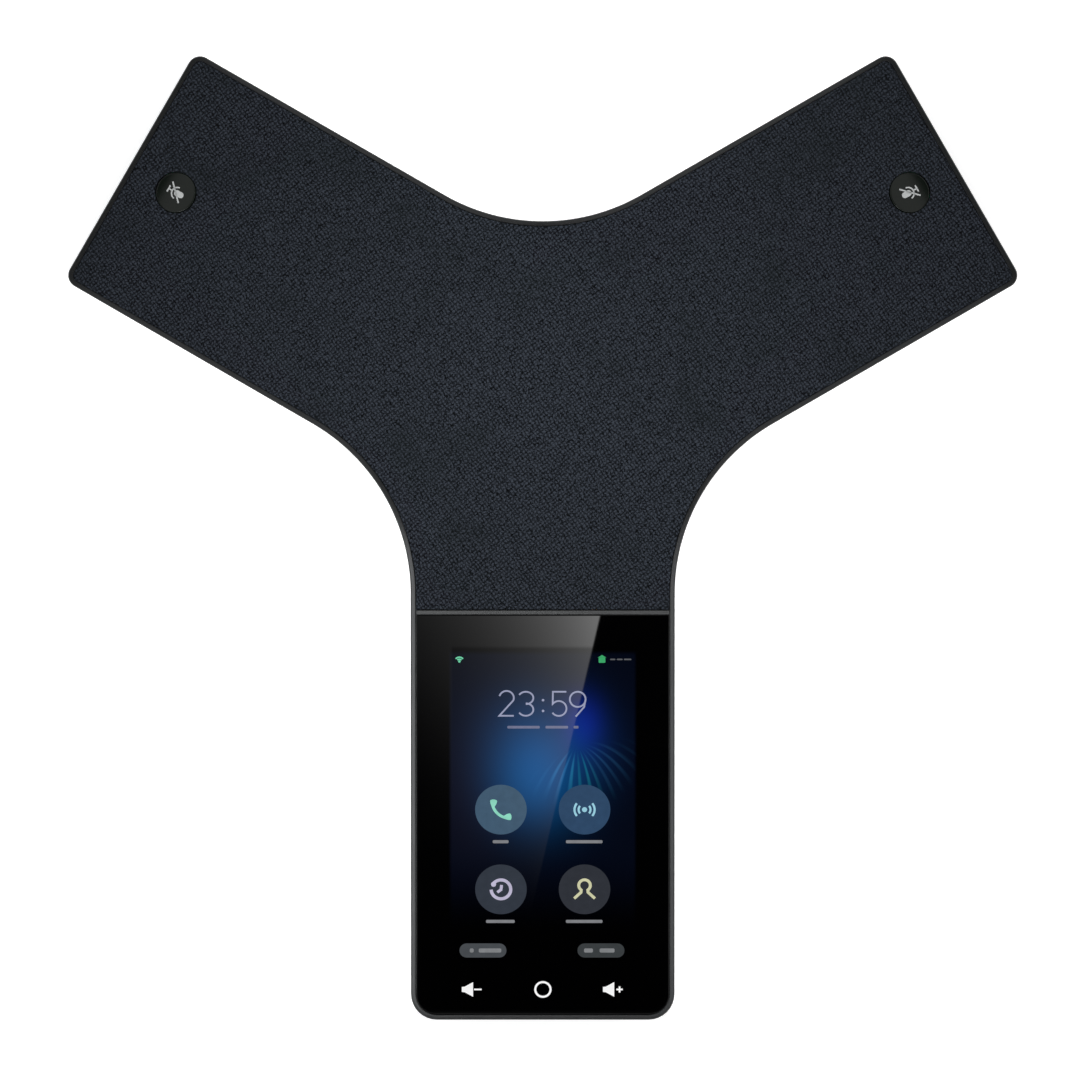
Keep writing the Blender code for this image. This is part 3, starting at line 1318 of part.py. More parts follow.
def build_microphones():
    """A board and a foam gasket under each of the three sound holes."""
    for side in MIC_REACH:
        frame = SLOPE_FRAMES[side]
        reach = MIC_REACH[side] / math.cos(SLOPE)
        centre = direction(mic_angle(side)) * MIC_REACH[side]
        name = f"mic_gasket_{side}"
        outline = circle(centre, MIC_GASKET_RADIUS, MIC_GASKET_STEPS)
        hole = circle(centre, MIC_HOLE + GAP, 8)
        drop = CARRIER_BOTTOM + GAP
        mesh = crowned_mesh(name, outline, drop, MIC_GASKET_HEIGHT, [hole], curved=False)
        place(mesh, name, FOAM, HUB)
        top = (drop + MIC_GASKET_HEIGHT) * math.cos(SLOPE) + GAP
        half = (MIC_BOARD[0] / 2, MIC_BOARD[1] / 2)
        span = (reach - half[1], reach + half[1])
        drops = (top, top + MIC_BOARD[2])
        slope_block(f"mic_board_{side}", (-half[0], half[0]), span, drops, BOARD_GREEN, frame)


def build_cables():
    """The round cables from the microphones and mute keys to the main board."""
    for side, angle in REAR_ARMS:
        along = direction(angle)
        across = direction(angle + 90) * (1 if side == "right" else -1)
        points = []
        for reach, offset, drop in ARM_CABLE_HUNG:
            at = along * reach + across * offset
            points.append((at.x, at.y, crown(at) - drop))
        for reach, offset, height in ARM_CABLE_LAID:
            at = along * reach + across * offset
            points.append((at.x, at.y, height))
        wire(f"arm_cable_{side}", points, WIRE_RADIUS, WIRE_BLACK)
    wire("front_mic_cable", FRONT_CABLE, WIRE_RADIUS, WIRE_BLACK)


# --- Assembly ---------------------------------------------------------------
clear_scene()
PARTS = new_collection(OBJECT_NAME)
CUTTERS = new_collection(OBJECT_NAME + "_cutters")
CUTTERS.hide_render = True
HUB = new_empty("hub", None, (0, HUB_Y, 0))
SLOPE_FRAMES = {side: slope_frame(f"slope_{side}", mic_angle(side)) for side in MIC_REACH}

build_housing()
build_rim()
build_carrier()
build_cloth()
build_divider()
build_glass()
build_glass_gasket()
build_feet()
build_label()
build_display()
build_display_flex()
build_speaker()
build_screws()
build_mainboard()
build_board_parts()
build_sockets()
build_bezel()
build_lock_slot()
build_mute_keys()
build_microphones()
build_cables()
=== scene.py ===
"""Looks of the Y-shaped conference desk phone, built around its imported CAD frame.

Metres, +Z up, the leg with the touch screen towards -Y. The fine pieces repeat the
formulas of the CAD part with more points and rounded edges.
"""

import json
import math

import bmesh
import bpy
from mathutils import Matrix, Vector
from mathutils.geometry import delaunay_2d_cdt


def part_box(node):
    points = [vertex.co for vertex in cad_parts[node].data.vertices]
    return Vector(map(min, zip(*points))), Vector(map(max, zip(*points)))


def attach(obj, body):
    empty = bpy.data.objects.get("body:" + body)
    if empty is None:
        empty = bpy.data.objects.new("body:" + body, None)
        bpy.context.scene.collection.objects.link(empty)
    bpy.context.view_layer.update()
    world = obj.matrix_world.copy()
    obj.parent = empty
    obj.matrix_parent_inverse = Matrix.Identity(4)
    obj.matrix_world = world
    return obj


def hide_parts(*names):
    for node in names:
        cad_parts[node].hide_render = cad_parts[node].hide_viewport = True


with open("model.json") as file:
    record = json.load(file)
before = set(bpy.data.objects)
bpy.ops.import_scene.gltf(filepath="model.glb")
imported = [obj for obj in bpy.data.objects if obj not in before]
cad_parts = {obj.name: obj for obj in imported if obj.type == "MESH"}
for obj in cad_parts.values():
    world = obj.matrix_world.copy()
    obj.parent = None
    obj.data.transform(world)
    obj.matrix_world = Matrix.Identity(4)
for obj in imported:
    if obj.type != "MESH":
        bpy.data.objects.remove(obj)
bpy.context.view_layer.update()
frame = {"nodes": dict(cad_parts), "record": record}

MM = 0.001

# --- Driving dimensions, the same as the CAD part's ---
ARM_WIDTH = 86.5 * MM
LEG_LENGTH = 201.9 * MM
ARM_LENGTH = 156.5 * MM
NOTCH_RADIUS = 64.2 * MM
ARM_CORNER = 4.2 * MM
LEG_CORNER = 8.5 * MM
SLOPE = math.radians(15)
PEAK = 70.0 * MM
CROWN_BLEND = 60.0 * MM
FOOT_HEIGHT = 3.0 * MM
GAP = 0.3 * MM
LEG, RIGHT, LEFT = -90, 30, 150
ARM_ANGLES = (LEG, RIGHT, LEFT)
REAR_ARMS = (("left", LEFT), ("right", RIGHT))
BISECTOR = math.radians(60)
HALF_WIDTH = ARM_WIDTH / 2
SPEAKER_OFFSET = 4.0 * MM
YOKE_LOW, YOKE_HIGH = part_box("speaker_yoke")
HUB = Vector((0, (YOKE_LOW.y + YOKE_HIGH.y) / 2 + SPEAKER_OFFSET, 0))

# --- Skin ---
RIM_WIDTH = 1.6 * MM
RIM_DEPTH = 6.0 * MM
RIM_ROUND = 0.5 * MM
RIM_LIP = 0.15 * MM
RIM_HEM = 0.25 * MM
LEDGE_TOP = 3.4 * MM
LEDGE_BOTTOM = 5.0 * MM
LEDGE_REACH = 5.0 * MM
SKIN_INSET = RIM_WIDTH + GAP
CLOTH_THICK = 0.8 * MM
CLOTH_ROLL = 0.35 * MM
CLOTH_SPREAD = 0.2 * MM
DIVIDER_REACH = 68.2 * MM
DIVIDER_WIDTH = 1.3 * MM
DIVIDER_DEPTH = 3.1 * MM
DIVIDER_SPREAD = 0.2 * MM
DIVIDER_EASE = 0.3 * MM
DIVIDER_STEPS = 16
CLOTH_END = DIVIDER_REACH - DIVIDER_WIDTH / 2 - GAP
GLASS_START = DIVIDER_REACH + DIVIDER_WIDTH / 2 + GAP
GLASS_END = LEG_LENGTH - SKIN_INSET
GLASS_HALF = HALF_WIDTH - SKIN_INSET
GLASS_THICK = 1.8 * MM
GLASS_ROUND = 0.15 * MM
SHARP_CORNER = 0.4 * MM
LATTICE = 4.0 * MM
LATTICE_MARGIN = 1.6 * MM
MUTE_REACH = 138.9 * MM
MUTE_RADIUS = 6.5 * MM
MUTE_LENS = 6.72 * MM
MUTE_DEPTH = 4.4 * MM
MUTE_ROUND = 0.5 * MM

# --- Housing, feet, label, screws and contacts ---
WALL = 2.2 * MM
HOUSING_DROP = RIM_DEPTH + GAP
BASE_INSET = 12.0 * MM
BASE_CORNER = 8.0 * MM
BASE_STEPS = 5
SKIRT_INSET = 9.5 * MM
SKIRT_HEIGHT = FOOT_HEIGHT + 2.0 * MM
WALL_STEPS = 6
FLOOR = FOOT_HEIGHT + WALL
FOOT_LENGTH = 40.0 * MM
FOOT_WIDTH = 12.0 * MM
FOOT_SINK = 0.5 * MM
FOOT_ROUND = 0.8 * MM
FOOT_FROM_END = 24.0 * MM
TREAD_INSET = FOOT_ROUND + 0.6 * MM
TREAD_DEPTH = 0.35 * MM
LABEL_SIZE = (52.0 * MM, 30.0 * MM)
LABEL_THICK = 0.3 * MM
LABEL_CORNER = 1.5 * MM
LABEL_EASE = 0.05 * MM
LABEL_MARGIN = 2.0 * MM
LABEL_Y = -20.0 * MM
SCREW_HEAD = 3.0 * MM
SCREW_HEAD_HEIGHT = 1.6 * MM
SCREW_DOME = 0.9 * MM
SCREW_SHAFT = 1.5 * MM
SCREW_LENGTH = 12.0 * MM
SCREW_STEPS = 32
DRIVE_DEPTH = 0.9 * MM
DRIVE_HALF = (1.6 * MM, 0.35 * MM)
WELL_RADIUS = SCREW_HEAD + 0.4 * MM
WELL_TOP = FOOT_HEIGHT + 2.8 * MM
BOSS_WALL = 1.4 * MM
ARM_SCREW_REACH = 118.0 * MM
LEG_SCREW = (26.0 * MM, 130.0 * MM)
WINDOW_HALF = 27.0 * MM
WINDOW_DEPTH = (42.8 * MM, 66.8 * MM)
WINDOW_HEIGHTS = (8.5 * MM, 26.0 * MM)
CONTACTS = 8
CONTACT_PITCH = 1.02 * MM
CONTACT_WIDTH = 0.44 * MM

# --- Display: places on the slope, as distances down it from the hub's peak ---
ACTIVE_HALF = 31.05 * MM
ACTIVE_START = 83.3 * MM
GLOW_END = (150.0 * MM, 180.0 * MM)
DECAL_LIFT = 0.03 * MM
DECAL_THICK = 0.02 * MM
STATUS_REACH = 86.5 * MM
CLOCK_REACH = 97.2 * MM
DATE_REACH = 109.5 * MM
TILE_X = 13.7 * MM
TILE_REACHES = (137.5 * MM, 164.6 * MM)
TILE_RADIUS = 8.45 * MM
TILE_LABEL_DROP = 10.9 * MM
PILL_REACH = 185.4 * MM
FAN_STREAKS = 21.0
KEY_REACH = 198.67 * MM
KEY_X = (-24.6 * MM, 21.7 * MM)

# --- In millimetres, as the marks and the looks are ---
CLOCK_HEIGHT = 8.7
CLOCK_STROKE = 0.55
YARN_PITCH = 1.12
WIRE_PITCH = 0.35
FAN = (11.2, 115.0)
WEDGE_TOP = (20.2, 66.1)
WEDGE_SLANT = 0.2331
WEDGE_FULL = 64.0
WEDGE_END = -40.0

# --- Floor, lamps and camera ---
FLOOR_HALF = 20.0
ROOM_LIGHT = 0.5
LAMP_HEIGHT = 0.42
LAMP_SIZE = 0.25
LAMP_POWER = 3.0
FLAG_HEIGHT = 1.0
FLAG_RADIUS = 0.43
FLAG_LOBES = 0.26
END_FLAG_REACH = (180.0 * MM, 225.0 * MM)
END_FLAG_HALF = 65.0 * MM
END_FLAG_HEIGHT = 80.0 * MM
CARD_FACES = Vector((0, -91.0 * MM, 34.0 * MM))
CARD_DISTANCE = 0.6
CARD_HALF = 0.3
RIM_LAMP = (5.0, 2.5)
WEDGE_LIGHT = 3.95
FRAME_WIDTH = 353.9 * MM
VIEW_CENTRE = Vector((-0.9 * MM, -0.6 * MM, 35.0 * MM))
LENS = 1500.0
SENSOR = 36.0

CORNER_STEPS = 8
NOTCH_STEPS = 40
EDGE_STEPS = 12
END_STEPS = 8
ROUND_STEPS = 48
ROD_STEPS = 32


# --- Plan geometry ---
def direction(degrees):
    return Vector((math.cos(math.radians(degrees)), math.sin(math.radians(degrees))))


def arc(centre, radius, start, end, steps):
    """Points along an arc, both ends included; angles in degrees."""
    turn = (end - start) / steps
    return [centre + direction(start + turn * i) * radius for i in range(steps + 1)]


def between(first, last, steps):
    """Points inside a straight run, neither end included."""
    return [first.lerp(last, i / steps) for i in range(1, steps)]


def circle(centre, radius, steps=ROUND_STEPS):
    return arc(centre, radius, 0, 360, steps)[:-1]


def y_outline(inset, leg_end=None, leg_corner=None, arm_corner=None):
    """The Y seen from above, set in from its outer edge, counter-clockwise."""
    half = HALF_WIDTH - inset
    notch = NOTCH_RADIUS + inset
    reach = (half + notch) / math.sin(BISECTOR)
    points = []
    for angle in ARM_ANGLES:
        if angle == LEG:
            end = leg_end or LEG_LENGTH - inset
            corner = leg_corner or max(LEG_CORNER - inset, SHARP_CORNER)
        else:
            end = ARM_LENGTH - inset
            corner = arm_corner or max(ARM_CORNER - inset, SHARP_CORNER)
        along = direction(angle)
        across = direction(angle + 90)
        root = along * reach / 2
        centre = along * (end - corner)
        side = across * (half - corner)
        first = arc(centre - side, corner, angle - 90, angle, CORNER_STEPS)
        second = arc(centre + side, corner, angle, angle + 90, CORNER_STEPS)
        points += between(root - across * half, first[0], EDGE_STEPS) + first
        points += between(first[-1], second[0], END_STEPS) + second
        points += between(second[-1], root + across * half, EDGE_STEPS)
        middle = direction(angle + 60) * reach
        points += arc(middle, notch, angle - 90, angle - 150, NOTCH_STEPS)
    return points


def rounded_rectangle(width, length, corner, steps=CORNER_STEPS):
    """A rectangle with round corners about the origin, counter-clockwise."""
    x = width / 2 - corner
    y = length / 2 - corner
    points = []
    for cx, cy, start in ((x, -y, -90), (x, y, 0), (-x, y, 90), (-x, -y, 180)):
        points += arc(Vector((cx, cy)), corner, start, start + 90, steps)
    return points


def smooth_max(a, b):
    """The larger of two lengths, blended where they are alike."""
    share = max(CROWN_BLEND - abs(a - b), 0) / CROWN_BLEND
    return max(a, b) + share**3 * CROWN_BLEND / 6


def crown(point):
    """Height of the top surface: three slopes that meet in a soft hub."""
    reaches = [point.dot(direction(angle)) for angle in (RIGHT, LEFT, LEG)]
    blended = smooth_max(smooth_max(reaches[0], reaches[1]), reaches[2])
    return PEAK - math.tan(SLOPE) * blended


def inside(point, loop):
    """Whether a point lies inside a closed outline."""
    crossings = 0
    for a, b in zip(loop, loop[1:] + loop[:1]):
        if (a.y > point.y) != (b.y > point.y):
            x = a.x + (point.y - a.y) * (b.x - a.x) / (b.y - a.y)
            crossings += x > point.x
    return crossings % 2 == 1


def round_over(radius, steps):
    """(inset, drop) pairs round a quarter circle, from the side to the top."""
    turns = [math.pi / 2 * i / steps for i in range(steps + 1)]
    return [(radius * (1 - math.cos(a)), radius * (1 - math.sin(a))) for a in turns]


# --- Mesh builders ---
def smooth(obj, angle=35):
    """Smooth shading, but for edges sharper than an angle in degrees."""
    obj.data.shade_smooth()
    obj.data.set_sharp_from_angle(angle=math.radians(angle))


def to_object(bm, name, matrix=None, angle=None):
    """A new object in the hub's frame or another, with smooth shading if an angle is given."""
    bmesh.ops.recalc_face_normals(bm, faces=bm.faces)
    mesh = bpy.data.meshes.new(name)
    bm.to_mesh(mesh)
    bm.free()
    obj = bpy.data.objects.new(name, mesh)
    bpy.context.scene.collection.objects.link(obj)
    obj.matrix_world = matrix if matrix is not None else Matrix.Translation(HUB)
    if angle:
        smooth(obj, angle)
    return obj


def loft(name, rings, ring_shaped=False, matrix=None, angle=35):
    """Walls through a run of matching rings, capped or closed on themselves."""
    bm = bmesh.new()
    rows = [[bm.verts.new(point) for point in ring] for ring in rings]
    pairs = list(zip(rows, rows[1:]))
    if ring_shaped:
        pairs.append((rows[-1], rows[0]))
    else:
        bm.faces.new(rows[0])
        bm.faces.new(rows[-1])
    count = len(rows[0])
    for low, high in pairs:
        for i in range(count):
            j = (i + 1) % count
            bm.faces.new((low[i], low[j], high[j], high[i]))
    obj = to_object(bm, name, matrix, angle)
    for face in obj.data.polygons:
        if len(face.vertices) > 4:
            face.use_smooth = False
    return obj


def level_ring(outline, height):
    return [(point.x, point.y, height) for point in outline]


def crown_ring(outline, drop):
    return [(point.x, point.y, crown(point) - drop) for point in outline]


def lattice(loops, margin):
    """A triangular lattice inside the first loop, outside the others, clear of all edges."""
    low = Vector([min(p[i] for p in loops[0]) for i in (0, 1)])
    high = Vector([max(p[i] for p in loops[0]) for i in (0, 1)])
    row = LATTICE * math.sin(BISECTOR)
    points = []
    edges = [(a, b - a) for loop in loops for a, b in zip(loop, loop[1:] + loop[:1])]
    for j in range(int((high.y - low.y) / row) + 1):
        for i in range(int((high.x - low.x) / LATTICE) + 1):
            spot = low + Vector(((i + 0.5 * (j % 2)) * LATTICE, j * row))
            if not inside(spot, loops[0]) or any(inside(spot, hole) for hole in loops[1:]):
                continue
            clear = True
            for a, run in edges:
                share = max(0.0, min(1.0, (spot - a).dot(run) / max(run.length_squared, MM**4)))
                if (spot - a - run * share).length < margin:
                    clear = False
                    break
            if clear:
                points.append(spot)
    return points


def drape(name, outlines, holes, height, thickness):
    """A closed sheet over nested outlines and holes; each nest is a list of (loop, drop)."""
    nests = outlines + [ring for nest in holes for ring in nest]
    points = []
    depth = []
    edges = []
    for loop, drop in nests:
        first = len(points)
        points += loop
        depth += [drop] * len(loop)
        edges += [(first + i, first + (i + 1) % len(loop)) for i in range(len(loop))]
    inner = [outlines[-1][0]] + [nest[-1][0] for nest in holes]
    extra = lattice(inner, LATTICE_MARGIN)
    points += extra
    depth += [0] * len(extra)
    flat, _, faces, sources, *_ = delaunay_2d_cdt([p / MM for p in points], edges, [], 0, 1e-6)
    flat = [p * MM for p in flat]
    bm = bmesh.new()
    verts = []
    for point, source in zip(flat, sources):
        drop = depth[source[0]] if source else 0
        verts.append(bm.verts.new((point.x, point.y, height(point) - drop)))
    edge = outlines[0][0]
    cuts = [nest[0][0] for nest in holes]
    for face in faces:
        middle = sum((flat[i] for i in face), Vector((0, 0))) / len(face)
        if inside(middle, edge) and not any(inside(middle, cut) for cut in cuts):
            bm.faces.new([verts[i] for i in face])
    bmesh.ops.delete(bm, geom=[v for v in bm.verts if not v.link_faces], context="VERTS")
    for vert in extruded(bm):
        vert.co.z = height(vert.co.xy) - thickness
    return to_object(bm, name, angle=50)


def extruded(bm):
    """The new vertices of an extrusion of all faces."""
    made = bmesh.ops.extrude_face_region(bm, geom=bm.faces[:])["geom"]
    return [item for item in made if isinstance(item, bmesh.types.BMVert)]


def turned(name, profile, matrix, steps):
    """A turned piece from its (radius, height) section, which starts and ends on the axis."""
    bm = bmesh.new()
    rows = []
    for radius, height in profile:
        if radius == 0:
            rows.append([bm.verts.new((0, 0, height))])
            continue
        ring = [direction(360 * i / steps) * radius for i in range(steps)]
        rows.append([bm.verts.new((p.x, p.y, height)) for p in ring])
    for low, high in zip(rows, rows[1:]):
        for i in range(steps):
            j = (i + 1) % steps
            corners = [low[i % len(low)], low[j % len(low)]]
            corners += [high[j % len(high)], high[i % len(high)]]
            bm.faces.new(list(dict.fromkeys(corners)))
    return to_object(bm, name, matrix, angle=35)


def boxes(name, spans, matrix=None):
    """One mesh of separate boxes, each given by its lowest and highest corner."""
    bm = bmesh.new()
    for low, high in spans:
        size, middle = Vector(high) - Vector(low), (Vector(high) + Vector(low)) / 2
        for vert in bmesh.ops.create_cube(bm, size=1)["verts"]:
            vert.co = Vector([vert.co[i] * size[i] + middle[i] for i in range(3)])
    return to_object(bm, name, matrix)


def rods(name, spans):
    """One mesh of upright rods: (x, y, radius, bottom, top) each."""
    bm = bmesh.new()
    for x, y, radius, bottom, top in spans:
        shape = {"segments": ROD_STEPS, "radius1": radius, "radius2": radius}
        made = bmesh.ops.create_cone(bm, cap_ends=True, depth=top - bottom, **shape)
        bmesh.ops.translate(bm, verts=made["verts"], vec=Vector((x, y, (top + bottom) / 2)))
    return to_object(bm, name)


def cut(obj, tool, operation="DIFFERENCE"):
    """Cut (or join) a tool body out of a piece at once, and drop the tool."""
    modifier = obj.modifiers.new("Cut", "BOOLEAN")
    modifier.operation = operation
    modifier.solver = "EXACT"
    modifier.object = tool
    bpy.context.view_layer.update()
    evaluated = obj.evaluated_get(bpy.context.evaluated_depsgraph_get())
    mesh = bpy.data.meshes.new_from_object(evaluated)
    obj.modifiers.clear()
    obj.data = mesh
    bpy.data.objects.remove(tool, do_unlink=True)


# --- Materials ---
class Term:
    """A shader value that adds, subtracts and multiplies like a number."""

    def __init__(self, look, socket):
        self.look = look
        self.socket = socket

    def __add__(self, other):
        return self.look.math("ADD", self, other)

    def __sub__(self, other):
        return self.look.math("SUBTRACT", self, other)

    def __rsub__(self, other):
        return self.look.math("SUBTRACT", other, self)

    def __mul__(self, other):
        return self.look.math("MULTIPLY", self, other)

    def __abs__(self):
        return self.look.math("ABSOLUTE", self)


class Look:
    """A procedural material and short calls for the shader nodes that make it.

    Its x, y and z are millimetres in the piece's own frame.
    """

    def __init__(self, name):
        self.material = bpy.data.materials.new(name)
        self.material.use_nodes = True
        self.nodes = self.material.node_tree.nodes
        self.links = self.material.node_tree.links
        self.shader = self.nodes["Principled BSDF"]
        metres = self.made("TexCoord", {}, "Object")
        self.place = self.made("VectorMath", {0: metres, "Scale": 1 / MM}, operation="SCALE")
        parts = [self.made("SeparateXYZ", {0: self.place}, axis) for axis in "XYZ"]
        self.x, self.y, self.z = parts

    def feed(self, socket, value):
        if isinstance(value, Term):
            self.links.new(value.socket, socket)
        else:
            socket.default_value = value

    def made(self, kind, inputs, output=0, **settings):
        """A new node: its inputs by name or place, its settings, and one of its outputs."""
        node = self.nodes.new("ShaderNode" + kind)
        for name, value in settings.items():
            setattr(node, name, value)
        for key, value in inputs.items():
            self.feed(node.inputs[key], value)
        return Term(self, node.outputs[output])

    def math(self, operation, *values):
        return self.made("Math", dict(enumerate(values)), operation=operation)

    def step(self, value, low, high, out=(0, 1)):
        """A smooth rise of `value` between two limits."""
        inputs = dict(enumerate((value, low, high, *out)))
        return self.made("MapRange", inputs, interpolation_type="SMOOTHSTEP")

    def vector(self, x, y, z=0.0):
        return self.made("CombineXYZ", {0: x, 1: y, 2: z})

    def noise(self, scale, detail=2.0, place=None, rough=0.5):
        inputs = {"Vector": place or self.place, "Scale": scale, "Detail": detail, "Roughness": rough}
        return self.made("TexNoise", inputs, "Fac")

    def cells(self, scale, place=None):
        return self.made("TexVoronoi", {"Vector": place or self.place, "Scale": scale}, "Distance")

    def mix(self, share, a, b):
        inputs = {"Factor": share, "A": opaque(a), "B": opaque(b)}
        return self.made("Mix", inputs, "Result", data_type="RGBA")

    def sum_of_lights(self, parts):
        """The sum of some colours, each scaled by its share."""
        total = (0.0, 0.0, 0.0)
        for colour, share in parts:
            light = self.made("VectorMath", {0: colour, "Scale": share}, operation="SCALE")
            total = self.made("VectorMath", {0: total, 1: light}, operation="ADD")
        return total

    def bump(self, height, distance, strength=1.0):
        inputs = {"Height": height, "Distance": distance, "Strength": strength}
        self.feed(self.shader.inputs["Normal"], self.made("Bump", inputs))

    def set(self, **values):
        for name, value in values.items():
            self.feed(self.shader.inputs[name.replace("_", " ")], opaque(value))
        return self


def opaque(colour):
    """A colour with its alpha, as a socket takes it; any other value as it is."""
    return (*colour, 1) if isinstance(colour, tuple) else colour


def linear(*levels):
    """Display colour levels, 0 to 255, as linear light."""
    shares = [level / 255 for level in levels]
    return tuple(s / 12.92 if s <= 0.04045 else ((s + 0.055) / 1.055) ** 2.4 for s in shares)


def shade(colour, factor):
    return tuple(c * factor for c in colour)


CLOTH_DARK = linear(1, 1.5, 2)
CLOTH_LIGHT = linear(37.3, 41.2, 47.5)
CLOTH_GREEN = linear(13, 17, 18)
RIM_DARK = linear(54, 55.5, 56.25)
RIM_LIGHT = linear(75, 75.75, 76.5)
GLASS_BLACK = linear(0.6, 0.6, 0.8)


def cloth_look():
    """Blue-black speaker cloth: two sets of diagonal yarns with open dots between."""
    look = Look("speaker_cloth")
    turn = math.tau / YARN_PITCH
    drift = (look.noise(0.4, 3.0) - 0.5) * 2.1
    wander = (look.noise(0.8, 2.0, look.vector(look.y, look.x, 7.0)) - 0.5) * 1.7
    yarn_u = look.math("SINE", (look.x * 0.80 + look.y * 0.60 + drift) * turn)
    yarn_v = look.math("SINE", (look.y * 0.80 - look.x * 0.60 + wander) * turn)
    weave = (yarn_u + yarn_v) * 0.25 + 0.5
    dots = yarn_u * yarn_v * 0.5 + 0.5
    height = weave * 0.65 + dots * 0.35
    fuzz = look.noise(2.6, 2.0, rough=0.6)
    slub = look.noise(0.9, 2.0)
    tone = height * 0.45 + fuzz * 0.62 + slub * 0.3
    yarn = look.mix(look.step(tone, 0.5, 0.9), CLOTH_DARK, CLOTH_LIGHT)
    green = look.step(look.noise(0.045, 3.0), 0.5, 0.72, (0, 0.3))
    look.set(Base_Color=look.mix(green, yarn, CLOTH_GREEN))
    look.set(Roughness=look.step(fuzz, 0.2, 0.8, (0.82, 0.98)), Specular_IOR_Level=0.12)
    look.bump(height + fuzz * 0.4, 0.25 * MM, 0.8)
    return look.material


def rim_look():
    """Satin gunmetal paint with a faint fleck and fine wear."""
    look = Look("rim_satin")
    fleck = look.noise(9.0, 3.0, rough=0.7)
    wear = look.noise(0.12, 4.0)
    look.set(Base_Color=look.mix(look.step(fleck, 0.3, 0.7), RIM_DARK, RIM_LIGHT), Metallic=0.9)
    look.set(Roughness=look.step(fleck, 0.2, 0.8, (0.24, 0.32)) + wear * 0.06)
    look.bump(fleck, 0.02 * MM, 0.35)
    return look.material


def plastic_look(name, colour, rough=0.55, grain=3.2, depth=0.03):
    """Moulded plastic with spark-eroded grain and faint handling marks."""
    look = Look(name)
    pits = look.noise(grain, 3.0, rough=0.65)
    marks = look.noise(0.05, 4.0)
    tone = look.step(pits, 0.3, 0.75)
    look.set(Base_Color=look.mix(tone, shade(colour, 0.75), shade(colour, 1.2)))
    look.set(Roughness=look.step(pits, 0.2, 0.8, (rough - 0.05, rough + 0.08)) + marks * 0.06)
    look.bump(pits, depth * MM, 0.6)
    return look.material


def gloss_look(name, colour=GLASS_BLACK, rough=0.008):
    """Cover glass: black print behind a hard coat with a few faint smears."""
    look = Look(name)
    smear = look.noise(0.03, 5.0, look.vector(look.x, look.y * 0.35, look.z))
    dust = look.noise(6.0, 2.0)
    look.set(Base_Color=look.mix(look.step(dust, 0.68, 0.9), colour, shade(colour, 1.8)))
    look.set(Roughness=look.step(smear, 0.35, 0.75, (rough, rough + 0.008)), IOR=1.5)
    return look


def metal_look(name, colour, rough=0.35, along="x"):
    """Rolled or turned metal with drawn lines and mild oxide."""
    look = Look(name)
    squeeze = [0.15 if axis == along else 6.0 for axis in "xyz"]
    drawn = [axis * share for axis, share in zip((look.x, look.y, look.z), squeeze)]
    lines = look.noise(1.0, 3.0, look.vector(*drawn), 0.6)
    oxide = look.noise(0.25, 4.0)
    base = look.mix(look.step(lines, 0.25, 0.75), shade(colour, 0.8), shade(colour, 1.1))
    look.set(Base_Color=look.mix(look.step(oxide, 0.55, 0.8, (0, 0.3)), base, shade(colour, 0.6)))
    look.set(Roughness=look.step(lines, 0.2, 0.8, (rough - 0.07, rough + 0.1)), Metallic=1.0)
    look.bump(lines, 0.01 * MM, 0.5)
    return look.material


def rubber_look():
    """Dull rubber with a fine grain and some dust."""
    look = Look("foot_rubber")
    grain = look.noise(2.4, 4.0, rough=0.7)
    dust = look.noise(0.3, 4.0)
    base = look.mix(look.step(grain, 0.3, 0.7), linear(17, 17, 18), linear(33, 33, 34))
    look.set(Base_Color=look.mix(look.step(dust, 0.55, 0.8, (0, 0.35)), base, linear(62, 60, 57)))
    look.set(Roughness=look.step(grain, 0.2, 0.8, (0.78, 0.95)))
    look.bump(grain, 0.05 * MM, 0.7)
    return look.material


def board_look():
    """Green solder mask over copper tracks, with plated dots."""
    look = Look("board_mask")
    bends = look.noise(0.12, 1.0) * 22.0
    tracks = look.step(look.math("SINE", (look.x + bends) * 4.2), 0.35, 0.6)
    dots = look.step(look.cells(0.35), 0.16, 0.22, (1, 0))
    base = look.mix(tracks, linear(8, 52, 34), linear(16, 84, 52))
    look.set(Base_Color=look.mix(dots, base, linear(196, 168, 98)), Metallic=dots * 0.9)
    look.set(Roughness=look.step(look.noise(1.0, 3.0), 0.3, 0.7, (0.3, 0.45)))
    look.bump(tracks + dots, 0.03 * MM, 0.5)
    return look.material


def grain_look(name, dark, light, scale, rough, depth, cells=False):
    """A two-tone grain for foam, ferrite, paper, film and the like."""
    look = Look(name)
    grain = look.cells(scale) if cells else look.noise(scale, 4.0, rough=0.6)
    cloud = look.noise(scale * 0.08, 3.0)
    base = look.mix(look.step(grain, 0.25, 0.75), linear(*dark), linear(*light))
    worn = shade(linear(*light), 0.8)
    look.set(Base_Color=look.mix(look.step(cloud, 0.45, 0.75, (0, 0.3)), base, worn))
    look.set(Roughness=look.step(grain, 0.2, 0.8, rough))
    look.bump(grain, depth * MM, 0.7)
    return look.material


def winding_look():
    """Enamelled copper wire wound round the coil."""
    look = Look("coil_winding")
    turns = look.math("SINE", look.z * (math.tau / WIRE_PITCH))
    tone = look.mix(look.step(turns, -0.6, 0.8), linear(92, 38, 20), linear(214, 122, 74))
    look.set(Base_Color=tone, Metallic=0.9, Roughness=look.step(turns, -1.0, 1.0, (0.45, 0.28)))
    look.bump(turns, 0.08 * MM, 0.8)
    return look.material


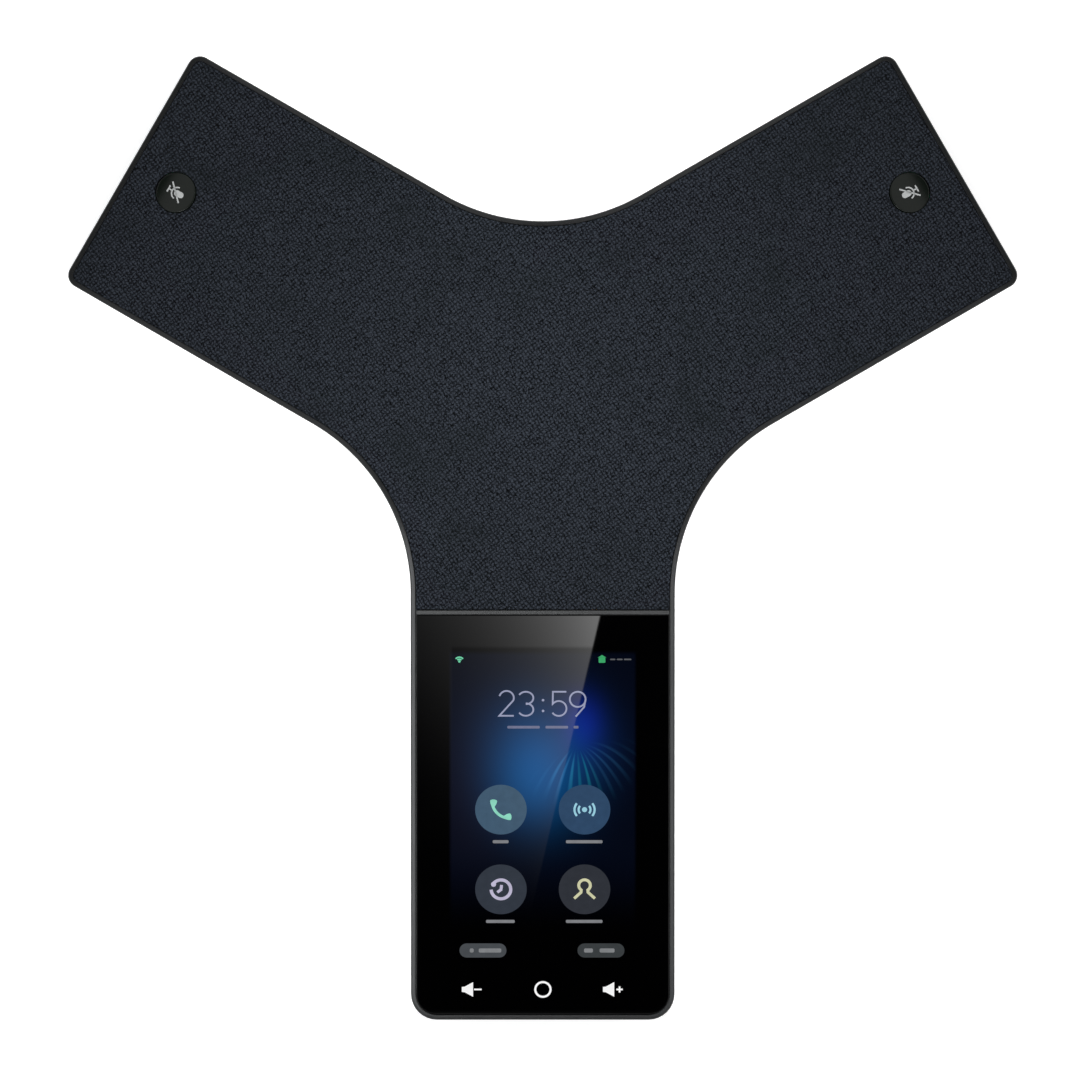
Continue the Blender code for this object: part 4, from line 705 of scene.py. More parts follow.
def lit_look(name, colour, strength=1.0, veil=0.15):
    """A lit mark under the same gloss as the glass, a little uneven like a backlight."""
    look = gloss_look(name)
    even = look.step(look.noise(0.4, 2.0), 0.2, 0.8, (1 - veil, 1.0))
    look.set(Emission_Color=linear(*colour), Emission_Strength=even * strength)
    return look.material


def look_with_painted_glare(name, left, right):
    """A lit patch whose tint shifts from the screen's left half to its right; the left colour is
    lighter because it holds a painted reflection of the glare.
    """
    look = gloss_look(name)
    # painted reflection: the left colour carries the glare that falls over the screen's left half
    colour = look.mix(look.step(look.x, -4.0, 4.0), linear(*left), linear(*right))
    even = look.step(look.noise(0.4, 2.0), 0.2, 0.8, (0.88, 1.0))
    look.set(Emission_Color=colour, Emission_Strength=even)
    return look.material


LOOKS = {
    "black_plastic": plastic_look("black_plastic_grain", linear(30, 31, 33)),
    "gunmetal_trim": rim_look(),
    "cloth": cloth_look(),
    "black_glass": gloss_look("cover_glass_black").material,
    "rubber": rubber_look(),
    "steel": metal_look("tinned_steel", linear(190, 190, 188), 0.32),
    "dark_steel": metal_look("blackened_steel", linear(84, 84, 86), 0.42),
    "ferrite": grain_look("pressed_ferrite", (42, 42, 46), (74, 74, 78), 2.2, (0.5, 0.75), 0.04),
    "copper": winding_look(),
    "board": board_look(),
    "white_plastic": plastic_look("white_plastic_grain", linear(216, 216, 210), 0.45),
    "clear_plastic": plastic_look("frosted_guide", linear(205, 212, 216), 0.22, 1.2, 0.01),
    "foam": grain_look("closed_cell_foam", (18, 18, 18), (52, 52, 54), 1.7, (0.9, 1.0), 0.2, True),
    "cone_paper": grain_look("cone_pulp", (26, 26, 28), (58, 58, 60), 1.2, (0.7, 0.9), 0.08),
    "film": grain_look("amber_film", (150, 92, 28), (196, 132, 48), 0.8, (0.25, 0.4), 0.02),
    "label_film": grain_look("label_foil", (150, 151, 153), (190, 191, 192), 3.0, (0.35, 0.5), 0.01),
    "wire_jacket": plastic_look("wire_jacket_vinyl", linear(28, 28, 29), 0.42, 1.6, 0.02),
}


def dress(obj, material):
    """Give a piece its material and slot, and let it ride on the phone."""
    obj.data.materials.clear()
    obj.data.materials.append(material)
    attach(obj, "phone")
    return obj


# --- Frames on the slopes ---
def slope_matrix(angle):
    """A frame at the hub's peak: -Y runs down one arm's slope, Z stands on it."""
    turn = Matrix.Rotation(math.radians(angle + 90), 4, "Z") @ Matrix.Rotation(SLOPE, 4, "X")
    return Matrix.Translation(HUB + Vector((0, 0, PEAK))) @ turn


GLASS_PLANE = slope_matrix(LEG)


# --- Cloth, rim, divider ---
def build_cloth():
    """The cover, pulled over the carrier's edge and down into the mute key holes."""
    rolled = round_over(CLOTH_ROLL, 3)
    corners = {"leg_corner": SHARP_CORNER, "arm_corner": ARM_CORNER - SKIN_INSET}
    outlines = []
    for inset, drop in rolled:
        side = SKIN_INSET - CLOTH_SPREAD + inset
        outlines.append((y_outline(side, leg_end=CLOTH_END - inset, **corners), drop))
    holes = []
    for _, angle in REAR_ARMS:
        centre = direction(angle) * MUTE_REACH
        radius = MUTE_RADIUS + GAP
        holes.append([(circle(centre, radius + inset), drop) for inset, drop in rolled])
    cover = drape("cloth_cover", outlines, holes, crown, CLOTH_THICK)
    dress(cover, LOOKS["cloth"])
    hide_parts("fabric_cover")


def build_rim():
    """The metal-look frame, its upper edge rounded over, its ledge under the skin."""
    section = round_over(RIM_ROUND, 4)
    section += [
        (RIM_WIDTH - RIM_LIP, 0),
        (RIM_WIDTH, RIM_LIP),
        (RIM_WIDTH, LEDGE_TOP),
        (LEDGE_REACH, LEDGE_TOP),
        (LEDGE_REACH, LEDGE_BOTTOM),
        (RIM_WIDTH, LEDGE_BOTTOM),
        (RIM_WIDTH, RIM_DEPTH),
        (RIM_HEM, RIM_DEPTH),
        (0, RIM_DEPTH - RIM_HEM),
    ]
    rings = [crown_ring(y_outline(inset), drop) for inset, drop in section]
    rim = loft("rim", rings, ring_shaped=True)
    dress(rim, LOOKS["gunmetal_trim"])
    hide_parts("trim_rim")


def build_divider():
    """The cross bar between the cloth and the glass, with eased top edges."""
    half = DIVIDER_WIDTH / 2 + DIVIDER_SPREAD
    flat = half - DIVIDER_EASE
    section = [(-half, DIVIDER_EASE), (-flat, 0), (flat, 0), (half, DIVIDER_EASE)]
    section += [(half, DIVIDER_DEPTH), (-half, DIVIDER_DEPTH)]
    rings = []
    for i in range(DIVIDER_STEPS + 1):
        x = GLASS_HALF * (2 * i / DIVIDER_STEPS - 1)
        row = [(Vector((x, y - DIVIDER_REACH)), drop) for y, drop in section]
        rings.append([(p.x, p.y, crown(p) - drop) for p, drop in row])
    bar = loft("divider", rings)
    dress(bar, LOOKS["gunmetal_trim"])
    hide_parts("divider_bar")


# --- Cover glass and what it shows ---
def blob(look, reach, place, size):
    """A soft patch of light on the glass, 1 at its place; (across, along) in millimetres."""
    dx = (look.x - place[0]) * (1 / size[0])
    dy = (reach - place[1]) * (1 / size[1])
    return look.math("EXPONENT", (dx * dx + dy * dy) * -1.0)


def fan_of_streaks(look, reach):
    """Fine streaks that spread from one point, as three shares: left, down and right."""
    dx = look.x - FAN[0]
    dy = reach - FAN[1]
    radius = look.math("SQRT", dx * dx + dy * dy)
    bearing = look.math("ARCTAN2", dx, dy)
    spread = bearing * (radius * 0.03 + 1.0)
    bent = look.vector(spread, radius * 0.01)
    waver = (look.noise(1.1, 1.0, bent) - 0.5) * 6.0
    rays = look.math("SINE", spread * FAN_STREAKS + waver)
    rays = look.math("POWER", look.step(rays, -0.2, 1.0), 1.6)
    rays = rays * look.step(look.noise(3.0, 1.0, bent), 0.3, 0.6, (0.35, 1.0))
    rays = rays * look.step(bearing, -1.0, -0.5) * look.step(bearing, 1.1, 1.75, (1, 0))
    rays = rays * look.step(radius, 1.5, 8.0) * look.step(radius, 9.0, 24.0, (1, 0))
    left = rays * look.step(bearing, -0.35, 0.0, (1, 0))
    down = rays * look.step(bearing, -0.35, 0.0) * look.step(bearing, 0.3, 0.7, (1, 0))
    return left, down, rays * look.step(bearing, 0.3, 0.7)


def wallpaper_look():
    """The cover glass with its lit picture: deep blue glow and a fan of fine streaks."""
    look = gloss_look("cover_glass_lit")
    reach = look.y * -1.0
    side, top = ACTIVE_HALF / MM, ACTIVE_START / MM
    window = look.step(abs(look.x), side - 1.5, side, (1, 0)) * look.step(reach, top, top + 2.0)
    window = window * look.step(reach, GLOW_END[0] / MM, GLOW_END[1] / MM, (1, 0))
    left, down, right = fan_of_streaks(look, reach)
    lights = [
        ((0.003, 0.067, 0.21), blob(look, reach, (-1.8, 126.5), (13.4, 15.0))),
        ((0.003, 0.022, 0.07), blob(look, reach, (-2.5, 111.0), (16.0, 15.0))),
        ((0.0015, 0.002, 0.14), blob(look, reach, (13.4, 108.2), (6.0, 8.8))),
        ((0.001, 0.006, 0.034), blob(look, reach, (14.0, 116.0), (11.0, 13.0))),
        ((0.001, 0.0022, 0.007), 1.0),
        ((0.005, 0.004, 0.007), blob(look, reach, (-22.0, 126.0), (15.0, 28.0))),
        ((0.014, 0.072, 0.14), left),
        ((0.003, 0.09, 0.105), down),
        ((0.006, 0.028, 0.06), right),
    ]
    look.set(Emission_Color=look.sum_of_lights(lights), Emission_Strength=window)
    return look.material


def glass_outline(inset):
    """The leg in front of the divider, in the glass plane: (x, -reach) points."""
    corner = LEG_CORNER - SKIN_INSET - inset
    half = GLASS_HALF - inset
    end = GLASS_END / math.cos(SLOPE) - inset
    start = GLASS_START / math.cos(SLOPE) + inset
    left = arc(Vector((corner - half, corner - end)), corner, 180, 270, 3 * CORNER_STEPS)
    right = arc(Vector((half - corner, corner - end)), corner, 270, 360, 3 * CORNER_STEPS)
    rear = arc(Vector((half - SHARP_CORNER, -start - SHARP_CORNER)), SHARP_CORNER, 0, 90, 4)
    rear += arc(Vector((SHARP_CORNER - half, -start - SHARP_CORNER)), SHARP_CORNER, 90, 180, 4)
    return left + right + rear


def build_glass():
    rings = [level_ring(glass_outline(0), -GLASS_THICK * math.cos(SLOPE))]
    rings += [level_ring(glass_outline(inset), -drop) for inset, drop in round_over(GLASS_ROUND, 4)]
    glass = loft("cover_glass", rings, matrix=GLASS_PLANE, angle=50)
    dress(glass, wallpaper_look())
    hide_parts("screen_glass")


class Decal:
    """Thin marks on a sloping face, drawn as clean strips and fills, then raised a hair.

    Points are millimetres from the decal's place: x, and down the slope to the user.
    """

    def __init__(self, x=0.0, reach=0.0, layer=0):
        self.bm = bmesh.new()
        self.place = Vector((x, reach))
        self.level = DECAL_LIFT * (1 + layer)

    def point(self, spot):
        x, reach = self.place + Vector(spot) * MM
        return self.bm.verts.new((x, -reach, self.level))

    def fill(self, loop):
        self.bm.faces.new([self.point(spot) for spot in loop])

    def disc(self, centre, radius, steps):
        self.fill(circle(Vector(centre), radius, steps))

    def bar(self, centre, width, height, corner=0.05):
        self.fill([Vector(centre) + p for p in rounded_rectangle(width, height, corner, 6)])

    def strip(self, line, width, closed=False):
        """A line of even width, or of a width for each point, with mitred turns."""
        line = [Vector(p) for p in line]
        count = len(line)
        widths = width if isinstance(width, list) else [width] * count
        sides = []
        for i, spot in enumerate(line):
            before = line[i - 1] if closed or i else spot * 2 - line[i + 1]
            after = line[(i + 1) % count] if closed or i < count - 1 else spot * 2 - line[i - 1]
            first = (spot - before).normalized()
            second = (after - spot).normalized()
            normal = Vector((-first.y - second.y, first.x + second.x)).normalized()
            side = normal * (widths[i] / 2 / max(normal.dot(Vector((-first.y, first.x))), 0.35))
            sides.append((self.point(spot + side), self.point(spot - side)))
        runs = list(zip(sides, sides[1:]))
        if closed:
            runs.append((sides[-1], sides[0]))
        for a, b in runs:
            self.bm.faces.new((a[0], b[0], b[1], a[1]))

    def ring(self, centre, radius, width, steps=ROUND_STEPS):
        self.strip(circle(Vector(centre), radius, steps), width, True)

    def bow(self, centre, radius, start, end, width, steps=20):
        """Part of a ring; angles run from +X towards the user, in degrees."""
        self.strip(arc(Vector(centre), radius, start, end, steps), width)

    def done(self, name, material, matrix=GLASS_PLANE):
        bmesh.ops.recalc_face_normals(self.bm, faces=self.bm.faces)
        bmesh.ops.translate(self.bm, verts=extruded(self.bm), vec=(0, 0, -DECAL_THICK))
        dress(to_object(self.bm, name, matrix), material)


def draw_digit(decal, digit, left, right):
    """One thin clock digit between two sides."""
    half = CLOCK_STROKE / 2
    left, right = left + half, right - half
    low = CLOCK_HEIGHT - half
    middle = (left + right) / 2
    radius = (right - left) / 2
    if digit == "2":
        bowl = arc(Vector((middle, radius)), radius, 195, 380, 20)
        decal.strip([*bowl, (left, low), (right, low)], CLOCK_STROKE)
    elif digit == "3":
        small = low / 4
        for sign, centre in ((1, small + half), (-1, low - small)):
            turns = [direction((-150 + 12 * i) * sign) for i in range(21)]
            bowl = [(middle + radius * p.x, centre + small * p.y) for p in turns]
            decal.strip(bowl, CLOCK_STROKE)
    elif digit == "5":
        bowl = arc(Vector((middle, low - radius)), radius * 1.02, 218, 505, 24)
        decal.strip([(right, half), (left + CLOCK_STROKE, half), *bowl], CLOCK_STROKE)
    elif digit == "9":
        centre = radius + half
        decal.ring((middle, centre), radius, CLOCK_STROKE)
        bend = (right - radius * 0.18, centre + radius)
        decal.strip([(right, centre), bend, (middle - radius * 0.25, CLOCK_HEIGHT)], CLOCK_STROKE)


def draw_bars(name, light, reach, spans, height, corner, layer=0):
    """Plain bars that stand for words; each is (x, width) or (x, width, down)."""
    bars = Decal(0, reach, layer)
    for x, width, *down in spans:
        bars.bar((x, sum(down)), width, height, corner)
    bars.done(name, light)


def build_clock():
    """The time in thin figures, with bars in place of the date."""
    clock = Decal(0, CLOCK_REACH)
    places = (("2", -14.5, -9.2), ("3", -8.3, -2.8), ("5", 2.5, 8.0), ("9", 8.6, 14.3))
    for digit, left, right in places:
        draw_digit(clock, digit, left, right)
    for share in (0.36, 0.78):
        clock.disc((0.1, CLOCK_HEIGHT * share), 0.42, 20)
    clock.done("screen_clock", lit_look("clock_light", (196, 202, 236), 0.6))
    spans = ((-6.3, 10.6), (4.6, 7.4), (10.9, 1.6))
    look = lit_look("date_light", (150, 154, 190), 0.55)
    draw_bars("screen_date_bars", look, DATE_REACH, spans, 0.9, 0.3)


def build_status_line():
    """Signal waves on the left, a link sign and some bars on the right."""
    waves = Decal(-27.3 * MM, STATUS_REACH)
    waves.disc((0, 0.7), 0.4, 16)
    for radius in (0.85, 1.55):
        waves.bow((0, 0.8), radius, 220, 320, 0.5)
    waves.done("screen_signal_mark", lit_look("mint_light", (120, 226, 180), 0.85))
    link = Decal(19.4 * MM, STATUS_REACH)
    link.bar((0, 0.3), 2.2, 1.7, 0.3)
    link.fill(((-1.4, -0.6), (0, -1.5), (1.4, -0.6)))
    link.done("screen_link_mark", lit_look("green_light", (70, 190, 120), 0.8))
    spans = ((22.9, 1.7), (25.2, 1.9), (27.8, 2.4))
    look = lit_look("status_light", (110, 112, 116), 0.7)
    draw_bars("screen_status_bars", look, STATUS_REACH, spans, 0.5, 0.2)


def build_tiles():
    """Four round tiles, the upper two bluer, the left tile of each row lighter by a painted
    reflection of the glare.
    """
    # each pair is (left, right); the left tint includes a painted glare reflection
    tints_with_painted_glare = (((66, 91, 113), (48, 74, 104)), ((52, 58, 68), (49, 52, 59)))
    for row, reach, tint in zip(("upper", "lower"), TILE_REACHES, tints_with_painted_glare):
        tiles = Decal(0, reach)
        for x in (-TILE_X, TILE_X):
            tiles.disc((x / MM, 0), TILE_RADIUS / MM, 72)
        tiles.done("screen_tiles_" + row, look_with_painted_glare("tile_light_painted_glare_" + row, *tint))


def build_captions():
    """Plain bars in place of the words under the tiles."""
    row = (TILE_REACHES[1] - TILE_REACHES[0]) / MM
    spans = ((-13.8, 5.2), (13.6, 12.0), (-13.9, 9.4, row), (13.6, 12.0, row))
    look = lit_look("caption_light", (165, 167, 172), 0.6)
    draw_bars("screen_captions", look, TILE_REACHES[0] + TILE_LABEL_DROP, spans, 1.05, 0.4, 1)


def build_pills():
    """The two small buttons under the tiles, each with two bars on it."""
    # the left pill's lighter tint is a painted reflection of the glare
    look = look_with_painted_glare("pill_light_painted_glare", (72, 76, 80), (59, 63, 65))
    draw_bars("screen_pills", look, PILL_REACH, ((-19.6, 15.4), (19.1, 15.4)), 4.8, 2.35)
    spans = ((-23.3, 1.3), (-17.3, 7.4), (15.0, 2.9), (21.1, 4.9))
    look = lit_look("pill_text_light", (150, 153, 156), 0.75)
    draw_bars("screen_pill_bars", look, PILL_REACH, spans, 1.4, 0.45, 1)


def build_call_mark():
    """A handset, its earpiece up on the left and its mouthpiece down on the right."""
    mark = Decal(-TILE_X, TILE_REACHES[0], 1)
    steps = 36
    line = []
    widths = []
    for i in range(steps + 1):
        turn = i / steps
        near_end = max(0.0, 1 - min(turn, 1 - turn) / 0.24)
        swell = math.sin(math.pi * min(near_end * 1.15, 1.0) ** 0.8 / 2)
        tip = math.sqrt(max(0.0, 1 - max(0.0, (near_end - 0.8) / 0.2) ** 2))
        widths.append((0.95 + 1.35 * swell) * max(tip, 0.35))
        line.append(Vector((2.9, -2.9)) + direction(186 - 102 * turn) * (5.8 - 0.5 * swell))
    mark.strip(line, widths)
    mark.done("screen_call_mark", lit_look("call_light", (150, 230, 205), 0.9))


def build_radio_mark():
    """A dot between two pairs of waves, a common sign for a radio link."""
    mark = Decal(TILE_X, TILE_REACHES[0], 1)
    mark.disc((0, 0), 0.85, 24)
    for radius in (1.95, 3.3):
        for start in (-40, 140):
            mark.bow((0, 0), radius, start, start + 80, 0.7)
    mark.done("screen_radio_mark", lit_look("radio_light", (165, 222, 240), 0.9))


def build_history_mark():
    """A clock whose ring starts again at a stub, up on the left."""
    mark = Decal(-TILE_X, TILE_REACHES[1], 1)
    radius, start = 3.2, -142
    mark.bow((0, 0), radius, start, 178, 1.05, 48)
    mark.disc(Vector((0.1, 0.25)) + direction(start) * radius, 0.85, 20)
    mark.strip(((0.2, -1.5), (0, 0.1), (-1.2, 1.0)), 0.95)
    mark.done("screen_history_mark", lit_look("history_light", (214, 208, 236), 0.8))


def build_person_mark():
    """An outline of a head that runs out into two shoulders."""
    mark = Decal(TILE_X, TILE_REACHES[1], 1)
    head = arc(Vector((0, -1.35)), 1.9, 125, 415, 32)
    mark.strip([(-3.4, 3.1), (-1.15, 1.0), *head, (1.15, 1.0), (3.4, 3.1)], 0.95)
    mark.done("screen_person_mark", lit_look("person_light", (232, 232, 190), 0.8))


def build_touch_keys():
    """The lit signs in front of the display: quieter, home and louder."""
    keys = Decal(0, KEY_REACH)
    quieter, louder = (x / MM for x in KEY_X)
    horn = ((-1.95, -0.85), (-1.0, -0.95), (1.75, -2.5), (1.75, 2.5), (-1.0, 0.95), (-1.95, 0.85))
    for key in (quieter, louder):
        keys.fill([(key + x, down) for x, down in horn])
    keys.bar((quieter + 3.3, 0), 2.5, 0.55, 0.1)
    keys.ring((0.05, 0), 2.5, 0.7, 40)
    plus = louder + 3.5
    keys.bar((plus, 0), 2.1, 0.6, 0.1)
    for side in (-0.67, 0.67):
        keys.bar((plus, side), 0.6, 0.75)
    keys.done("touch_key_signs", lit_look("key_light", (246, 246, 246), 1.0, 0.05))


# --- Mute keys ---
def print_look():
    """Grey-white printing ink."""
    look = Look("mute_print")
    grain = look.step(look.noise(5.0, 2.0), 0.3, 0.7)
    look.set(Base_Color=look.mix(grain, linear(120, 122, 122), linear(148, 150, 150)))
    look.set(Roughness=0.4)
    return look.material


def build_mute_keys():
    """Gloss discs in the cloth with a crossed microphone printed on each."""
    smoke = gloss_look("mute_key_smoke", linear(4, 8, 5), 0.2).material
    ink = print_look()
    reach = MUTE_REACH / math.cos(SLOPE)
    depth = MUTE_DEPTH * math.cos(SLOPE)
    edge = [(MUTE_LENS - inset, -drop) for inset, drop in reversed(round_over(MUTE_ROUND, 4))]
    profile = [(0, 0.0), *edge, (MUTE_LENS, -depth), (0, -depth)]
    for side, angle in REAR_ARMS:
        plane = slope_matrix(angle) @ Matrix.Translation((0, -reach, 0))
        lens = turned(f"mute_key_{side}", profile, plane, 64)
        dress(lens, smoke)
        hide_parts(f"mute_lens_{side}")
        mark = Decal()
        mark.bar((0, -1.2), 2.0, 3.4, 0.98)
        mark.bow((0, -0.6), 1.95, 5, 175, 0.45)
        mark.bar((0, 2.0), 0.45, 1.2)
        mark.bar((0, 2.75), 2.3, 0.5)
        mark.strip(((2.6, -2.6), (-2.6, 2.7)), 0.5)
        mark.done(f"mute_sign_{side}", ink, plane)


# --- Housing, feet, label and screws ---
def screw_places():
    places = {f"arm_{side}": direction(angle) * ARM_SCREW_REACH for side, angle in REAR_ARMS}
    places["leg_left"] = Vector((-LEG_SCREW[0], -LEG_SCREW[1]))
    places["leg_right"] = Vector((LEG_SCREW[0], -LEG_SCREW[1]))
    return places


def foot_places():
    return {
        "front": (LEG, LEG_LENGTH - FOOT_FROM_END),
        "right": (RIGHT, ARM_LENGTH - FOOT_FROM_END),
        "left": (LEFT, ARM_LENGTH - FOOT_FROM_END),
    }


def foot_ring(place, grow, height):
    """A stadium lying across an arm, larger by `grow` than the pad."""
    angle, reach = place
    width = FOOT_WIDTH + 2 * grow
    outline = rounded_rectangle(FOOT_LENGTH + 2 * grow, width, width / 2 - 0.1 * MM, 12)
    along, across = direction(angle), direction(angle + 90)
    return [(*(along * reach + across * p.x + along * p.y), height) for p in outline]


def housing_rings():
    """The tray's outside from the base up to the rim, then its inside down to the floor."""
    corners = {"leg_corner": BASE_CORNER, "arm_corner": BASE_CORNER}
    rings = []
    for i in range(BASE_STEPS + 1):
        turn = math.pi / 2 * i / BASE_STEPS
        inset = BASE_INSET - (BASE_INSET - SKIRT_INSET) * math.sin(turn)
        height = FOOT_HEIGHT + (SKIRT_HEIGHT - FOOT_HEIGHT) * (1 - math.cos(turn))
        rings.append(level_ring(y_outline(inset, **corners), height))
    skirt = rings[-1]
    upper = crown_ring(y_outline(0), HOUSING_DROP)
    for i in range(1, WALL_STEPS + 1):
        share = i / WALL_STEPS
        rings.append([tuple(Vector(a).lerp(Vector(b), share)) for a, b in zip(skirt, upper)])
    rings.append(crown_ring(y_outline(WALL), HOUSING_DROP))
    rings.append(level_ring(y_outline(SKIRT_INSET + WALL, **corners), FLOOR + WALL))
    rings.append(level_ring(y_outline(BASE_INSET + WALL, **corners), FLOOR))
    return rings


def build_housing():
    """The tapered tray with a rounded foot, cut for feet, screws, label and sockets."""
    shell = loft("housing_shell", housing_rings())
    below = FOOT_HEIGHT - MM
    wells, bosses = [], []
    for place in screw_places().values():
        wells.append((*place, WELL_RADIUS, below, WELL_TOP))
        bosses.append((*place, WELL_RADIUS + BOSS_WALL, FLOOR - MM, WELL_TOP + 2 * MM))
    cut(shell, rods("well_bosses", bosses), "UNION")
    cut(shell, rods("wells", wells))
    for name, place in foot_places().items():
        heights = (below, FOOT_HEIGHT + FOOT_SINK + GAP)
        cut(shell, loft(name + "_recess", [foot_ring(place, GAP, height) for height in heights]))
    half = [side / 2 + GAP for side in LABEL_SIZE]
    low = (-half[0], LABEL_Y - half[1], below)
    high = (half[0], LABEL_Y + half[1], FOOT_HEIGHT + 2 * GAP)
    cut(shell, boxes("label_recess", [(low, high)]))
    side = WINDOW_HALF + GAP
    low = (-side, WINDOW_DEPTH[0], WINDOW_HEIGHTS[0] - GAP)
    high = (side, WINDOW_DEPTH[1], WINDOW_HEIGHTS[1] + GAP)
    cut(shell, boxes("socket_window", [(low, high)]))
    smooth(shell, 30)
    dress(shell, LOOKS["black_plastic"])
    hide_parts("bottom_housing")


def build_feet():
    """Rubber pads with a rounded lower edge and a shallow tread groove."""
    for name, place in foot_places().items():
        rings = [foot_ring(place, 0, FOOT_HEIGHT + FOOT_SINK)]
        rings += [foot_ring(place, -inset, drop) for inset, drop in round_over(FOOT_ROUND, 4)]
        for step, height in ((0, 0), (0.5, TREAD_DEPTH), (1.0, TREAD_DEPTH), (1.4, 0)):
            rings.append(foot_ring(place, -TREAD_INSET - step * MM, height))
        foot = loft(f"foot_pad_{name}", rings)
        dress(foot, LOOKS["rubber"])
        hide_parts(f"foot_{name}")


def label_look():
    """Foil with a frame line and one line across, the fields left empty."""
    look = Look("label_foil_printed")
    grain = look.noise(3.0, 3.0)
    foil = look.mix(look.step(grain, 0.3, 0.7), linear(150, 151, 153), linear(186, 187, 188))
    x, y = abs(look.x), look.y - LABEL_Y / MM
    half_width, half_length = ((side / 2 - LABEL_MARGIN) / MM for side in LABEL_SIZE)
    edge = look.math("MAXIMUM", x - half_width, abs(y) - half_length)
    border = look.math("COMPARE", edge, 0.0, 0.2)
    band = look.math("COMPARE", y, 4.5, 0.15) * look.math("LESS_THAN", x, half_width)
    ink = look.math("MAXIMUM", border, band)
    look.set(Base_Color=look.mix(ink, foil, linear(28, 28, 30)), Roughness=0.42, Metallic=0.3)
    look.bump(grain, 0.01 * MM, 0.4)
    return look.material


def build_label():
    """The blank rating label, with round corners and an eased lower edge."""
    rings = []
    eased = [side - 2 * LABEL_EASE for side in LABEL_SIZE]
    levels = ((LABEL_SIZE, LABEL_THICK), (LABEL_SIZE, LABEL_EASE), (eased, 0))
    for size, height in levels:
        outline = rounded_rectangle(*size, LABEL_CORNER)
        rings.append(level_ring([Vector((0, LABEL_Y)) + p for p in outline], FOOT_HEIGHT + height))
    label = loft("label", rings)
    dress(label, label_look())
    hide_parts("rating_label")


def build_screws():
    """Pan-head screws with a cross recess."""
    seat = WELL_TOP - GAP
    head = seat - SCREW_HEAD_HEIGHT
    profile = [(0, head), (SCREW_HEAD * 0.7, head)]
    for turn in (0.5, 1.0, 1.57):
        radius = SCREW_HEAD * (0.7 + 0.3 * math.sin(turn))
        profile.append((radius, head + SCREW_DOME * (1 - math.cos(turn))))
    profile += [(SCREW_HEAD, seat), (SCREW_SHAFT, seat)]
    profile += [(SCREW_SHAFT, seat + SCREW_LENGTH - SCREW_SHAFT), (0, seat + SCREW_LENGTH)]
    arm, slit = DRIVE_HALF
    for name, place in screw_places().items():
        axis = Matrix.Translation(HUB + Vector((*place, 0)))
        screw = turned(f"case_screw_{name}", profile, axis, SCREW_STEPS)
        for x, y in ((arm, slit), (slit, arm)):
            span = ((-x, -y, head - MM), (x, y, head + DRIVE_DEPTH))
            cut(screw, boxes("drive", [span], axis))
        smooth(screw)
        dress(screw, LOOKS["steel"])
        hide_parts(f"housing_screw_{name}")


def build_contacts():
    """The eight gold spring contacts inside the network socket."""
    gold = metal_look("contact_gold", linear(222, 178, 92), 0.25, "y")
    low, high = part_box("ethernet_jack")
    top = low.z + (high.z - low.z) * 0.74
    near, far = high.y - 4.0 * MM, high.y - 11.5 * MM
    pins = []
    for i in range(CONTACTS):
        x = (low.x + high.x) / 2 + (i - (CONTACTS - 1) / 2) * CONTACT_PITCH
        left, right = x - CONTACT_WIDTH / 2, x + CONTACT_WIDTH / 2
        pins.append(((left, far, top - 1.4 * MM), (right, near, top - 1.15 * MM)))
    contacts = boxes("jack_contacts", pins, Matrix.Identity(4))
    dress(contacts, gold)


# --- Carried-over CAD pieces ---
def dress_cad_nodes():
    """Every CAD piece that still shows takes its slot's procedural material."""
    slots = {part["node"]: part["material_slot"] for part in frame["record"]["subparts"]}
    for name, obj in frame["nodes"].items():
        obj.data.materials.clear()
        obj.data.materials.append(LOOKS[slots[name]])


# --- Stage ---
def build_floor():
    """A wide pale table top, kept even by a little light of its own."""
    look = Look("floor_paper")
    grain = look.step(look.noise(0.6, 3.0), 0.2, 0.8)
    tone = look.mix(grain, linear(240, 240, 240), linear(244, 244, 244))
    look.set(Base_Color=tone, Roughness=0.9, Emission_Color=(1.0, 1.0, 1.0), Emission_Strength=0.72)
    span = ((-FLOOR_HALF, -FLOOR_HALF, -0.02), (FLOOR_HALF, FLOOR_HALF, -0.0002))
    floor = boxes("floor", [span], Matrix.Identity(4))
    floor.data.materials.append(look.material)


def build_light():
    """An even white room and one soft lamp over the hub."""
    world = bpy.data.worlds.new("studio")
    bpy.context.scene.world = world
    world.use_nodes = True
    room = world.node_tree.nodes["Background"].inputs
    room["Color"].default_value = (1, 1, 1, 1)
    room["Strength"].default_value = ROOM_LIGHT
    light = bpy.data.lights.new("overhead_lamp", "AREA")
    light.shape = "DISK"
    light.size = LAMP_SIZE
    light.energy = LAMP_POWER
    lamp = bpy.data.objects.new("overhead_lamp", light)
    bpy.context.scene.collection.objects.link(lamp)
    lamp.location = HUB + Vector((0, 0, LAMP_HEIGHT))
    lamp.visible_camera = False
    lamp.visible_glossy = False


def show_to_mirrors_only(obj):
    obj.visible_camera = False
    obj.visible_diffuse = False
    obj.visible_transmission = False
    obj.visible_shadow = False


def build_flag(name, outline, height):
    """A dark level sheet that only mirror images show."""
    bm = bmesh.new()
    bm.faces.new([bm.verts.new((point.x, point.y, 0)) for point in outline])
    flag = to_object(bm, name, Matrix.Translation(HUB + Vector((0, 0, height))))
    look = Look(name + "_black")
    look.set(Base_Color=(0.0, 0.0, 0.0), Roughness=1.0, Specular_IOR_Level=0.0)
    flag.data.materials.append(look.material)
    show_to_mirrors_only(flag)


